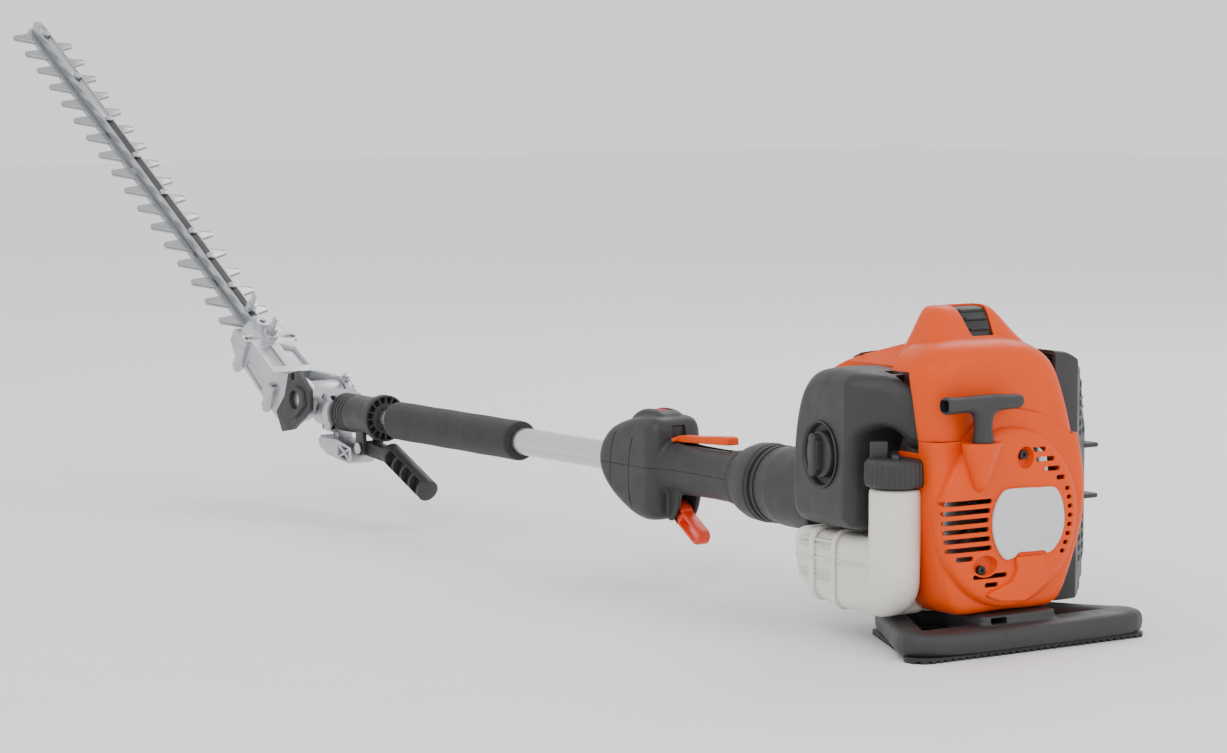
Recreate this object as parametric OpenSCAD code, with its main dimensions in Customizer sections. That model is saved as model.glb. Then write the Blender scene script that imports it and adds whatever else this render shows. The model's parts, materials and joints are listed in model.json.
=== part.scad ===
// Pole hedge trimmer: a petrol engine behind, a pole with two grips, and a tilting cutter head.
// +X runs forward along the pole, +Y is the air-filter side, +Z is up.
// The origin is the middle of the rear foot bar's underside.

/* [Pole] */
// Outside diameter of the pole tube
tube_d = 28; // [26:0.5:29]
// Wall of the pole tube
tube_wall = 1.6; // [1.2:0.1:2.4]
// Height of the pole's axis above the ground
pole_z = 109; // [108:0.5:110]
// Diameter of the foam front grip
foam_d = 41; // [36:1:46]
// Length of the foam front grip
foam_len = 242; // [180:1:244]

/* [Engine] */
// Height of the engine cover, without its hump
cover_top = 266; // [262:1:272]
// Wall of the moulded covers
shell = 3; // [2:0.5:3.5]
// Radius of the raised starter disc
starter_r = 77; // [70:1:78]
// Bore of the cylinder
cyl_bore = 34; // [30:1:36]
// Diameter of the tank cap
cap_d = 53; // [48:1:54]

/* [Handles] */
// Height of the rear grip
grip_h = 50; // [46:1:52]
// Width of the throttle housing
throttle_w = 64; // [56:1:68]
// Pull angle of the lock lever's handle below the pole
lever_drop = 24; // [20:1:26]

/* [Cutter] */
// Tilt of the cutter head above the pole at rest
head_tilt = 31.45; // [0:0.05:60]
// Spacing of the blade teeth
tooth_pitch = 38.9; // [36:0.1:39]
// Number of teeth on the left edge
tooth_count = 17; // [8:1:17]
// Distance of the tooth tips from the blade's middle
tooth_reach = 36; // [30:1:40]
// Half of each blade's stroke
stroke = 8; // [4:0.5:8]
// Thickness of each blade
blade_t = 2.2; // [1.8:0.1:2.2]

/* [Hidden] */
$fn = 48;

orange = [1, 0.38, 0.05];
signal_red = [0.92, 0.27, 0.04];
stop_red = [0.86, 0.08, 0.2];
dark = [0.29, 0.29, 0.3];
black = [0.12, 0.12, 0.13];
tank_white = [0.9, 0.89, 0.85];
alloy = [0.8, 0.81, 0.83];
steel = [0.66, 0.67, 0.7];
badge_grey = [0.78, 0.79, 0.8];

run = 0.05;              // radial clearance of a running fit
gap = 0.4;               // clearance between pieces that move past each other
tube_r = tube_d / 2;
bore_r = tube_r - tube_wall;
shaft_r = 4;
journal_r = 8;
web_r = 22;
cyl_x = 97;              // the cylinder's axis, along the pole
cyl_r = cyl_bore / 2;
deck_z = 146;            // where the cylinder stands on the crankcase
starter_y = 14;
starter_z = 116;
starter_wells = [[0, 169], [46, 73]];
filler = [50, 105];      // the filler neck's axis in plan
tank_front = 195.5;        // how far forward the tank reaches
rope_at = [-3, 53];      // the starter rope's axis in plan
knob_at = [135, 118.2, 165];
knob_turn = -8.3;        // how far the filter cover's face turns towards the rear
foam_x0 = 782;
collar_x0 = 1050;
collar_x1 = 1142;
tube_x0 = 345;
tube_x1 = 1146;
trigger_pin = [513, 0, 72];
lockout_pin = [500, 0, 137];
lever_pin_at = [1085, 0, 74];
pivot = [1188, 0, 120];
barrel_r = 20;
cheek_in = 20.5;
cheek_out = 28;
case_end = 165;          // head measures run along the bar from the pivot
bar_end = 819;
bar_top = -9;
bar_bottom = -20;
blade_top = bar_bottom - 0.3;
blade_split = blade_top - blade_t - 0.3;
bolt_places = [234, 295, 347, 430, 512, 595, 694, 794];
bolt_r = 3;

// Plan, side and rear outlines given thickness along the third direction
module plan(z0, z1) { translate([0, 0, z0]) linear_extrude(z1 - z0) children(); }
module side(y0, y1) { translate([0, y1, 0]) rotate([90, 0, 0]) linear_extrude(y1 - y0) children(); }
module rear(x0, x1) { translate([x0, 0, 0]) rotate([90, 0, 90]) linear_extrude(x1 - x0) children(); }
module block(lo, hi) { translate(lo) cube([hi[0] - lo[0], hi[1] - lo[1], hi[2] - lo[2]]); }
module rod_x(x0, x1, r, y = 0, z = pole_z) { translate([x0, y, z]) rotate([0, 90, 0]) cylinder(h = x1 - x0, r = r); }
module rod_y(y0, y1, r, x, z) { translate([x, y0, z]) rotate([-90, 0, 0]) cylinder(h = y1 - y0, r = r); }
module rod_z(z0, z1, r, x, y) { translate([x, y, z0]) cylinder(h = z1 - z0, r = r); }
module cone_x(x0, x1, r0, r1) {
    translate([x0, 0, pole_z]) rotate([0, 90, 0]) cylinder(h = x1 - x0, r1 = r0, r2 = r1);
}
module ring_x(x0, x1, r, hole) {
    difference() { rod_x(x0, x1, r); rod_x(x0 - 1, x1 + 1, hole); }
}
// A straight bar in a 2D outline, with round ends
module bar2d(a, b, r) {
    d = b - a;
    translate(a) circle(r);
    translate(b) circle(r);
    translate(a) rotate(atan2(d[1], d[0])) translate([0, -r]) square([norm(d), 2 * r]);
}
module round_box2d(lo, hi, r) {
    translate([lo[0] + r, lo[1]]) square([hi[0] - lo[0] - 2 * r, hi[1] - lo[1]]);
    translate([lo[0], lo[1] + r]) square([hi[0] - lo[0], hi[1] - lo[1] - 2 * r]);
    for (x = [lo[0] + r, hi[0] - r], y = [lo[1] + r, hi[1] - r]) translate([x, y]) circle(r);
}
// Places children in the head's own frame: x along the bar, origin at the pivot
module head() { translate(pivot) rotate([0, -head_tilt, 0]) children(); }

// ---- Foot ----
module foot_outline(inset = 0) {
    bar2d([11, -125], [11, 106], 19 - inset);
    bar2d([11, 106], [138, 44], 13 - inset);
    bar2d([11, -125], [125, -45], 13 - inset);
    bar2d([125, -45], [138, 44], 12 - inset);
}
module foot_frame() {
    color(dark) difference() {
        union() {
            plan(4, 24) foot_outline();
            plan(6, 22) foot_outline(-1.5);
            block([0, -38, 22], [52, 36, 33.5]);
        }
        block([-10, -18, 26], [60, 2, 31]);
    }
}
module foot_tread() {
    color(black) difference() {
        plan(0, 4) foot_outline(3);
        for (y = [-142:8:114]) block([-12, y + 2.5, -1], [34, y + 5.5, 2.4]);
        for (x = [40:8:168]) block([x, -120, -1], [x + 3, 120, 2.4]);
    }
}

// ---- Tank ----
module tank_body(t) {
    intersection() {
        union() {
            plan(29 + t, 60 - t) round_box2d([61 + t, -52 + t], [tank_front - t, 108 - t], 12 - t);
            plan(29 + t, 97 - t) round_box2d([61 + t, 52 + t], [tank_front - t, 108 - t], 12 - t);
        }
        side(-60, 120) polygon([[30, 20], [136, 28 + t], [173 - t * 0.4, 38 + t], [192 - t, 58],
            [tank_front + 1 - t, 98], [30, 98]]);
    }
    rod_z(75, 100, 22.5 - t, filler[0], filler[1] - 6);
}
module fuel_tank() {
    color(tank_white) difference() {
        union() {
            tank_body(0);
            rod_z(62, 145, 22.5, filler[0], filler[1]);
            translate([filler[0], filler[1], 62]) sphere(22.5);
            for (x = [124, 158]) rear(x, x + 5) round_box2d([60, 30], [110.5, 97], 10);
            for (z = [50, 80], x = [106, 138, 172]) block([x, 100, z], [x + 20, 109.5, z + 3]);
        }
        tank_body(shell);
        rod_z(70, 150, 19.5, filler[0], filler[1]);
    }
}
module tank_cap() {
    color(dark) {
        rod_z(145 + gap, 169, cap_d / 2 - 1.5, filler[0], filler[1]);
        rod_z(147, 165, cap_d / 2 - 0.8, filler[0], filler[1]);
        rod_z(136, 146, 18.8, filler[0], filler[1]);
        for (a = [0:15:345]) translate([filler[0], filler[1], 147]) rotate(a)
            translate([cap_d / 2 - 1.5, 0, 0]) cylinder(h = 20, r = 1.5);
        translate([filler[0], filler[1], 168]) rotate(-38) block([-4, 4, 0], [4, 22, 15.2]);
    }
}

// ---- Engine core ----
module crankcase() {
    color(alloy) difference() {
        union() {
            block([62, -38, 66], [132, 38, deck_z]);
            rod_x(58, 140, 24);
            for (y = [-46, 38]) block([70, y, 66], [124, y + 8, 76]);
        }
        rod_x(72, 122, web_r + 2);
        rod_x(50, 150, journal_r + run);
        rod_z(pole_z, deck_z + 1, cyl_r + 1, cyl_x, 0);
    }
}
module cylinder_block() {
    color(alloy) difference() {
        union() {
            rod_z(deck_z, 212, cyl_r + 5, cyl_x, 0);
            for (z = [152:7:208]) block([cyl_x - 35, -38, z], [cyl_x + 35, 38, z + 2.2]);
            block([cyl_x - 24, -28, 206], [cyl_x + 24, 28, 212]);
            block([cyl_x - 13, -52, 166], [cyl_x + 13, -18, 190]);
            block([cyl_x - 14, 18, 166], [cyl_x + 14, 52, 194]);
        }
        rod_z(deck_z - 1, 204, cyl_r, cyl_x, 0);
        rod_z(200, 213, 6.6, cyl_x, 0);
        rod_y(-53, -10, 8, cyl_x, 178);
        rod_y(10, 53, 8, cyl_x, 180);
    }
}
module piston() {
    color(steel) difference() {
        rod_z(151, 180, cyl_r - run, cyl_x, 0);
        rod_z(150, 174, cyl_r - 4, cyl_x, 0);
        for (z = [175, 178]) translate([cyl_x, 0, z]) difference() {
            cylinder(h = 1, r = cyl_r + 1);
            cylinder(h = 1, r = cyl_r - 1);
        }
    }
}
module crankshaft() {
    color(steel) {
        rod_x(37, 76, journal_r);
        rod_x(76, 86, web_r);
        rod_x(86, 108, 6, 0, pole_z - 14);
        rod_x(108, 118, web_r);
        rod_x(118, 246, journal_r);
    }
}
module flywheel() {
    color(alloy) difference() {
        union() {
            rod_x(42, 46, 60);
            rod_x(39, 57, 15);
            for (a = [0:20:340]) translate([45, 0, pole_z]) rotate([a, 0, 0])
                translate([0, -1.5, 24]) cube([11, 3, 34]);
        }
        rod_x(30, 60, journal_r);
        for (a = [0:60:300]) translate([41, 0, pole_z]) rotate([a + 10, 0, 0]) translate([0, 0, 36])
            rotate([0, 90, 0]) cylinder(h = 6, r = 7);
    }
}
module ignition_coil() {
    color(black) difference() {
        union() {
            block([43, -24, 171], [53, 24, 178]);
            block([40, -13, 178], [56, 13, 198]);
        }
        rod_x(42, 54, 61);
        for (y = [-19, 19]) rod_x(39, 57, 2.2, y, 174.5);
    }
}
module spark_plug() {
    color(steel) {
        rod_z(199, 212, 6.5, cyl_x, 0);
        translate([cyl_x, 0, 212]) cylinder(h = 8, r = 9, $fn = 6);
        rod_z(220, 238, 5, cyl_x, 0);
    }
}
module plug_boot() {
    color(black) difference() {
        union() {
            rod_z(224, 250, 9, cyl_x, 0);
            rod_x(cyl_x - 24, cyl_x, 6, 0, 243);
        }
        rod_z(223, 239, 5, cyl_x, 0);
    }
}
module muffler() {
    color(steel) difference() {
        union() {
            block([68, -108, 124], [128, -56, 206]);
            block([cyl_x - 13, -56, 166], [cyl_x + 13, -52, 190]);
            rod_y(-124, -108, 9, 112, 140);
        }
        block([71, -105, 127], [125, -59, 203]);
        rod_y(-60, -51, 8, cyl_x, 178);
        rod_y(-125, -104, 7, 112, 140);
    }
}
module guard_outline(t) {
    polygon([[-84, 250 - t], [-116 + t * 0.6, 240 - t * 0.8], [-143 + t, 213 - t * 0.4], [-155 + t, 181],
        [-160 + t, 150], [-160 + t, 100], [-154 + t, 54 + t * 0.4], [-128 + t * 0.7, 30 + t], [-88, 27 + t]]);
}
module guard_wedge(t) {
    plan(0, 280)
        polygon([[35 + 0.77 * t, -79 + 0.64 * t], [127 + 0.77 * t, -191 + 0.64 * t], [30, -220], [20, -79]]);
}
module muffler_guard() {
    color(dark) difference() {
        union() {
            difference() { rear(62, 176) guard_outline(0); guard_wedge(0); }
            for (z = [156, 110]) block([102, -173, z], [132, -156, z + 4]);
        }
        difference() { rear(61, 172) guard_outline(shell); guard_wedge(shell); }
        for (z = [186:10:216], x = [74:12:158]) block([x, -170, z], [x + 8, -100, z + 6]);
        for (z = [64:10:94], x = [74:12:158]) block([x, -170, z], [x + 8, -130, z + 6]);
        for (z = [60:16:220]) block([170, -140, z], [180, -95, z + 7]);
        block([60, -92, 20], [180, -80, 260]);
    }
}

// ---- Intake ----
module carburettor() {
    color(alloy) difference() {
        union() {
            block([90, 52, 160], [114, 74, 200]);
            rod_z(154, 160, 11.5, 102, 63);
            rod_y(52, 76, 11.5, 102, 180);
        }
        rod_y(50, 78, 8, 102, 180);
    }
}
module filter_base() {
    color(black) difference() {
        union() {
            block([90, 76, 106], [166, 79, 216]);
            block([161, 44, 118], [172, 77.3, 172]);
            rod_y(77.5, 101, 4, knob_at[0], knob_at[2]);
        }
        rod_y(74, 81, 8, 102, 180);
        rod_x(168.5, 174, 8.4, 54, 124);
    }
}
module air_filter() {
    color([0.2, 0.2, 0.2]) difference() {
        side(80, 100) round_box2d([94, 112], [162, 214], 8);
        rod_y(79, 101, 6, knob_at[0], knob_at[2]);
        for (x = [98:8:156]) block([x, 97, 118], [x + 3, 101, 208]);
    }
}
// The filter cover is the overlap of its side outline and its plan
module filter_hull(t) {
    intersection() {
        side(60, 130) polygon([[86 + t, 104 - t * 9], [86 + t, 184], [80 + t, 192 + t], [44 + t, 194 + t],
            [46 + t, 222 - t], [62 + t, 234 - t], [110, 241 - t], [152 - t * 0.3, 236 - t], [172 - t, 222 - t],
            [183 - t, 204], [188 - t, 170], [190 - t, 112], [183 - t, 102 - t * 9]]);
        plan(60, 250) polygon([[44 + t, 68 - t], [44 + t, 87 - t], [92, 124.5 - t], [180 - t, 113 - t],
            [189 - t, 102 - t], [190 - t, 68 - t]]);
    }
}
module knob_space(r, y0, y1) {
    translate(knob_at) rotate([0, 0, knob_turn]) rotate([-90, 0, 0])
        translate([0, 0, y0]) cylinder(h = y1 - y0, r = r);
}
module filter_cover() {
    color(dark) difference() {
        union() {
            difference() { filter_hull(0); filter_hull(2.5); }
            intersection() { filter_hull(0); knob_space(29.5, -12, 4); }
        }
        knob_space(27, -6, 9);
        knob_space(4.3, -20, 9);
        for (x = [60:14:88]) block([x, 78, 225], [x + 9, 90, 250]);
    }
}
module filter_knob() {
    color(dark) {
        knob_space(20.5, -5.5, 3);
        knob_space(4, -14, -5);
        translate(knob_at) rotate([0, 0, knob_turn]) block([-5, 2, -19], [5, 10, 19]);
    }
}
module primer_bulb() {
    color(tank_white) {
        rod_x(176, 180, 9, 54, 124);
        translate([180, 54, 124]) sphere(7.5);
    }
}
module choke_lever() {
    color(black) difference() {
        union() {
            rod_x(172.5, 176, 6, 54, 156);
            translate([172.5, 54, 156]) rotate([-20, 0, 0]) block([0.4, -3, 4], [3.1, 3, 21]);
        }
        rod_x(172, 178, 2.2, 54, 156);
    }
}

// ---- Orange covers ----
module body_outline(t) {
    polygon([[62 - t, 34 + t], [-40 + t, 34 + t], [-57 + t, 48 + t * 0.5], [-74 + t, 90], [-80 + t, 112],
        [-80.5 + t, 146], [-73 + t, 182], [-63 + t, 216 - t * 0.2], [-50 + t * 0.7, 245 - t * 0.5],
        [-30 + t * 0.3, 262 - t], [-4, cover_top - t], [52, cover_top + 1 - t], [80 - t * 0.4, cover_top - 2 - t],
        [97 - t, 248 - t * 0.4], [94 - t, 187], [92 - t, 145], [86 - t, 90], [76 - t, 50 + t * 0.5]]);
}
split_z = 184;
module split_zone() {
    rear(-40, 230) polygon([[110, split_z], [64, split_z], [54, 194], [44, 202], [0, 208], [-40, 196], [-66, 182],
        [-110, 182], [-110, 300], [110, 300]]);
}
// The place beside the top cover that the filter cover takes up
module filter_side(t) {
    block([43.2 - t, 67.2 - t, 100], [230, 130, 242 + t]);
    rear(66 - t, 230) polygon([[67.2 - 0.7 * t, 200], [67.2 - 0.7 * t, 242 - 0.7 * t], [40 - 0.7 * t, 266 - 0.7 * t],
        [40, 320], [130, 320], [130, 200]]);
}
module top_shape(t) {
    difference() {
        intersection() {
            rear(0, 230) body_outline(t);
            side(-120, 120) polygon([[13 + t, 150], [14 + t, 236 - t], [22 + t, 258 - t], [36, cover_top + 2 - t],
                [100, 262 - t], [160, 246 - t], [198 - t, 228 - t], [204 - t, 216], [204 - t, 150]]);
        }
        filter_side(t);
    }
}
module hump_shape(t) {
    intersection() {
        rear(40, 140) polygon([[68 - t, 240 - t * 6], [66 - t, 262], [52 - t, 276], [40 - t, 291 - t], [30, 296 - t],
            [2, 296 - t],
            [-9 + t, 290 - t], [-22 + t, 272], [-33 + t, 262], [-35 + t, 240 - t * 6]]);
        side(-60, 80) polygon([[44 + t, 240 - t * 6], [46 + t, 262], [66 + t, 291 - t], [74, 296 - t], [86, 296 - t],
            [97 - t, 284 - t], [108 - t, 262], [110 - t, 240 - t * 6]]);
    }
}
module top_cover() {
    color(orange) difference() {
        intersection() {
            union() { top_shape(0); hump_shape(0); }
            split_zone();
        }
        top_shape(shell);
        hump_shape(shell);
        block([59, -14, 288], [80, 22, 300]);
        block([150, 60, 100], [230, 100, 232]);
        block([87, 60, 150], [117, 72, 204]);
        block([64, -84, 170], [132, -50, 210]);
    }
}
module hump_vent() {
    color(black) difference() {
        union() {
            block([59.5, -13.5, 288.5], [79.5, 21.5, 296]);
        }
        for (x = [63:5:76]) block([x, -10, 294], [x + 1.5, 18, 298]);
    }
}
module cover_trim() {
    color(dark) difference() {
        intersection() {
            top_shape(-2.4);
            block([150, -100, 205], [161, 62, 275]);
        }
        top_shape(-0.3);
    }
}
module slot_y(y0, y1, z, h = 4.2) { block([-10, y0, z], [30, y1, z + h]); }
module starter_housing() {
    color(orange) difference() {
        union() {
            difference() {
                rear(11, 60) body_outline(0);
                rear(11 + shell, 61) body_outline(shell);
            }
            difference() {
                cone_disc(2, 13, starter_r, 0);
                cone_disc(2 + shell, 15, starter_r - shell, 0);
            }
            translate([rope_at[0] + 1, rope_at[1], 142]) cylinder(h = 40.2, r1 = 5, r2 = 17.6);
            block([-1, -21, 57], [4, 16, 79.5]);
        }
        split_zone();
        rod_x(5.6, 17, starter_r - 13, starter_y, starter_z);
        rod_z(140, 190, 2.6, rope_at[0], rope_at[1]);
        for (i = [0:5]) block([-10, 44, 134 - i * 9], [12.9, 87 - abs(i - 2.5) * 1.5, 138.2 - i * 9]);
        slot_y(62, 74, 80);
        slot_y(26, 57, 57);
        slot_y(34, 45, 49);
        for (i = [0:3]) slot_y(-27 - i * 8, -12 - i * 6, 174 - i * 9);
        for (a = [-50:9:22]) translate([0, starter_y, starter_z]) rotate([a, 0, 0])
            block([-2, -73, -2], [14, -66, 2]);
        for (p = starter_wells) rod_x(-2, 14, 9, p[0], p[1]);
        rod_z(60, 146, 23.2, filler[0], filler[1]);
        rod_z(70, 101, 23.2, filler[0], filler[1] - 6);
        rod_z(134, 190, 28, filler[0], filler[1]);
    }
    color(orange) for (p = starter_wells) difference() {
        rod_x(3, 13.5, 11.5, p[0], p[1]);
        rod_x(-2, 8, 9, p[0], p[1]);
    }
    color(orange) rod_x(3.5, 34, 6);
}
module cone_disc(x0, x1, r, grow) {
    translate([x0, starter_y, starter_z]) rotate([0, 90, 0]) cylinder(h = x1 - x0, r1 = r - 5 + grow, r2 = r + grow);
}
module badge() {
    color(badge_grey) rear(-1, 1.9) intersection() {
        translate([-2, 110]) circle(40);
        translate([-43, 80]) square([82, 64]);
    }
}
module rope_pulley() {
    color(black) difference() {
        rod_x(17, 28, 30);
        ring_x(20, 25, 31, 25);
        rod_x(16, 29, 6 + run);
    }
}
module recoil_spring() {
    color(steel) {
        for (r = [9:4:25]) ring_x(29, 33, r, r - 1);
        block([29, -1, pole_z + 8], [33, 1, pole_z + 25]);
    }
}
module starter_rope() { color(black) rod_z(146, 181.5, 1.8, rope_at[0], rope_at[1]); }
module starter_grip() {
    color(dark) difference() {
        union() {
            rod_y(rope_at[1] - 43, rope_at[1] + 43, 7.5, rope_at[0], 217);
            translate([rope_at[0], rope_at[1], 182.4]) cylinder(h = 12, r = 8.5);
            translate([rope_at[0], rope_at[1], 194]) cylinder(h = 19, r1 = 7, r2 = 8);
        }
        rod_y(rope_at[1] + 18, rope_at[1] + 44, 5.4, rope_at[0], 217);
    }
}
module screw_x(x, y, z) {
    difference() { rod_x(x - 3, x, 4.2, y, z); rod_x(x - 4, x - 1.2, 2, y, z, $fn = 6); }
}
module housing_screws() {
    color(black) {
        for (p = starter_wells) screw_x(7.9, p[0], p[1]);
        for (p = [[-62, 100], [50, 80], [-50, 216], [60, 216]]) translate([206, 0, 0]) rod_x(0, 3, 4, p[0], p[1]);
    }
    color(steel) for (a = [45:90:315]) translate([1150.1, 0, pole_z]) rotate([a, 0, 0]) translate([0, 0, 23])
        rotate([0, 90, 0]) cylinder(h = 3, r = 4);
}

// ---- Front of the engine ----
module front_shroud() {
    color(dark) difference() {
        union() {
            rear(199.6, 206) difference() {
                body_outline(5);
                translate([-120, 234]) square([240, 60]);
            }
            block([140, -70, 62.5], [199.6, 46, 65.5]);
        }
        rod_x(190, 210, 56);
        block([190, 34, 104], [210, 120, 178]);
        for (z = [168:9:190]) block([195, -50, z], [210, 30, z + 5]);
        translate([0, 0, -0.4]) split_zone();
    }
}
module clutch_housing() {
    color(dark) difference() {
        union() {
            cone_x(196, 250, 55, 38.5);
            rod_x(250, 323, 38.5);
            rod_x(323, 340, 36);
        }
        cone_x(195, 246, 51, 35.5);
        rod_x(245, 330, 34.5);
        rod_x(320, 350, tube_r + 2);
    }
}
module clutch_shoes() {
    color(steel) difference() {
        rod_x(222, 236, 29);
        rod_x(220, 240, journal_r);
        for (a = [0, 120, 240]) translate([220, 0, pole_z]) rotate([a, 0, 0]) block([0, -1.5, 12], [20, 1.5, 32]);
    }
}
module clutch_drum() {
    color(steel) difference() {
        union() { rod_x(218, 252, 32); rod_x(252, 268, 9); }
        rod_x(217, 248, 30);
        rod_x(250, 270, shaft_r);
    }
}
module damper_ring() {
    color(black) difference() {
        union() { ring_x(340, 354, 36.8, tube_r); }
        ring_x(345, 349, 38, 34);
    }
}
module coupling_boot() {
    color(dark) difference() {
        union() { cone_x(354, 396, 37.5, 26); }
        rod_x(350, 400, tube_r);
    }
}

// ---- Rear handle ----
module throttle_shape() {
    intersection() {
        side(-throttle_w / 2, throttle_w / 2) polygon([[505, 60], [520, 56], [548, 60], [580, 74], [597, 88],
            [606, 100], [606, 122],
            [597, 138], [580, 148], [556, 155], [530, 159], [512, 158], [505, 148]]);
        plan(40, 170) polygon([[505, -27], [520, -32], [572, -32], [596, -24], [606, -15], [606, 15], [596, 24],
            [572, 32], [520, 32], [505, 27]]);
    }
}
module handle_solid() {
    difference() {
        union() {
            throttle_shape();
            rear(396, 508) round_box2d([-20, pole_z - grip_h / 2], [20, pole_z + grip_h / 2], 18);
            rear(396, 404) round_box2d([-24, 82], [24, 136], 20);
            for (y = [-14, 8]) side(y, y + 6) polygon([[486, 84], [508, 84], [508, 60], [500, 58]]);
        }
        rod_x(390, 610, tube_r);
        block([495, -8, 48], [530, 8, 94]);
        rod_y(-16, 16, 3 + run, trigger_pin[0], trigger_pin[2]);
        block([412, -8.5, 130.5], [510, 8.5, 150]);
        rod_y(-13, 13, 2 + run, lockout_pin[0], lockout_pin[2]);
        block([528, -7, 152], [556, 7, 164]);
    }
}
module handle_upper() { color(dark) difference() { handle_solid(); block([380, -60, 0], [620, 60, pole_z]); } }
module handle_lower() { color(dark) difference() { handle_solid(); block([380, -60, pole_z], [620, 60, 200]); } }
module throttle_trigger() {
    color(signal_red) difference() {
        union() {
            side(-7, 7) bar2d([trigger_pin[0], trigger_pin[2]], [471, 46], 8);
            rod_y(-12, 12, 3, trigger_pin[0], trigger_pin[2]);
        }
        side(-8, 8) polygon([[499, 67], [502.5, 61], [476, 44.5], [472.5, 50]]);
    }
}
module lockout_lever() {
    color(orange) {
        side(-7, 7) polygon([[497, 134.6], [503, 136], [503, 140], [497, 141], [424, 146], [418, 144], [418, 138]]);
        rod_y(-12, 12, 2, lockout_pin[0], lockout_pin[2]);
    }
}
module stop_switch() {
    color(stop_red) {
        block([529, -6.5, 152.5], [547, 6.5, 161]);
        for (x = [531:5:544]) block([x, -6.5, 161], [x + 2, 6.5, 163]);
    }
}

// ---- Pole ----
module main_tube() { color(alloy) ring_x(tube_x0, tube_x1, tube_r, bore_r); }
module shaft_bushes() {
    color(black) for (x = [430, 640, 860, 1090]) ring_x(x, x + 18, bore_r - 0.1, shaft_r + run);
}
module drive_shaft() {
    color(steel) difference() {
        union() {
            rod_x(250, 1158, shaft_r);
            cone_x(1152, 1160, 8.5, 6);
        }
        for (a = [0:30:330]) translate([1151, 0, pole_z]) rotate([a, 0, 0])
            translate([0, -0.7, 6.2]) cube([12, 1.4, 4]);
    }
}
module foam_grip() { color([0.2, 0.2, 0.2]) ring_x(foam_x0, foam_x0 + foam_len, foam_d / 2, tube_r); }
module collar_sleeve() {
    color(dark) difference() {
        union() {
            rod_x(collar_x0, collar_x0 + 8, 25.5);
            cone_x(collar_x0 + 8, collar_x0 + 20, 24, 21.2);
            rod_x(collar_x0 + 20, 1134, 21.2);
            for (y = [-13, 8.4]) side(y, y + 4.6) round_box2d([1077, 66], [1093, 94], 6);
        }
        rod_x(collar_x0 - 1, 1140, tube_r);
        difference() {
            ring_x(collar_x0 - 1, collar_x0 + 7, 23.5, tube_r + 2.5);
            for (a = [0:22.5:337.5]) translate([collar_x0 - 2, 0, pole_z]) rotate([a, 0, 0])
                block([0, -0.8, 12], [12, 0.8, 26]);
        }
        for (x = [1110:6:1128]) ring_x(x, x + 2, 23, 20);
        rod_y(-14, 14, shaft_r, lever_pin_at[0], lever_pin_at[2]);
    }
}
module lever_pin() {
    color(steel) {
        rod_y(-14, 14, shaft_r, lever_pin_at[0], lever_pin_at[2]);
        rod_y(14, 16, 6, lever_pin_at[0], lever_pin_at[2]);
    }
}
module lock_lever() {
    reach = 84;
    color(dark) difference() {
        union() {
            rod_y(-8, 8, 7.5, lever_pin_at[0], lever_pin_at[2]);
            side(-8, 8) polygon([[1085, 81.4], [1036, 76], [1036, 62], [1085, 66.6]]);
            translate([1041, 0, 72]) rotate([0, -90 - lever_drop, 0]) cylinder(h = reach, r = 12);
        }
        rod_y(-10, 10, shaft_r + run, lever_pin_at[0], lever_pin_at[2]);
        translate([1041, 0, 72]) rotate([0, -90 - lever_drop, 0]) for (i = [0:3])
            block([-9, 2, 9 + i * 18], [9, 14, 24 + i * 18]);
    }
}

// ---- Neck and skid arm ----
module neck_housing() {
    color(alloy) difference() {
        union() {
            rod_x(1134.2, 1150, 25);
            for (a = [45:90:315]) translate([1136, 0, pole_z]) rotate([a, 0, 0]) translate([0, 0, 22])
                rotate([0, 90, 0]) cylinder(h = 13, r = 5.5);
            rod_x(1145, 1180, 18.5);
            rod_y(-cheek_in + 1, cheek_in - 1, barrel_r, pivot[0], pivot[2]);
            rod_y(-31, 31, 10, pivot[0], pivot[2]);
            block([1137, -9, 80], [1148, 9, 90]);
        }
        rod_x(1130, tube_x1, tube_r);
        rod_x(1140, 1184, 11.5);
        rod_y(-13.8, 13.8, 13.5, pivot[0], pivot[2]);
        for (a = [45:90:315]) translate([1130, 0, pole_z]) rotate([a, 0, 0]) translate([0, 0, 23])
            rotate([0, 90, 0]) cylinder(h = 30, r = 2.6);
    }
}
module skid_arm() {
    color(alloy) difference() {
        side(-14, 16) polygon([[1098, 58], [1104, 55], [1150, 61], [1166, 68], [1170, 76], [1164, 82], [1150, 80],
            [1128, 79.5], [1112, 76], [1100, 73]]);
        side(-20, 20) polygon([[1104, 60], [1112, 66], [1104, 70]]);
        side(-20, 20) polygon([[1107, 58.5], [1122, 60.5], [1114, 64.5]]);
        side(-20, 20) polygon([[1107, 71.5], [1114, 67.5], [1122, 74]]);
        side(-20, 20) polygon([[1117, 66], [1126, 62], [1128, 73]]);
        block([1134, -20, 66], [1158, -10, 75]);
        rod_z(40, 90, 3, 1160, 0);
    }
}
module pivot_gear() {
    color(steel) difference() {
        rod_y(-4, 6, 10, pivot[0] + 2, pivot[2]);
        rod_y(-5, 7, 3, pivot[0] + 2, pivot[2]);
        for (a = [0:24:336]) translate([pivot[0] + 2, 0, pivot[2]]) rotate([0, a, 0])
            block([8.4, -5, -0.7], [12, 8, 0.7]);
    }
}

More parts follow.
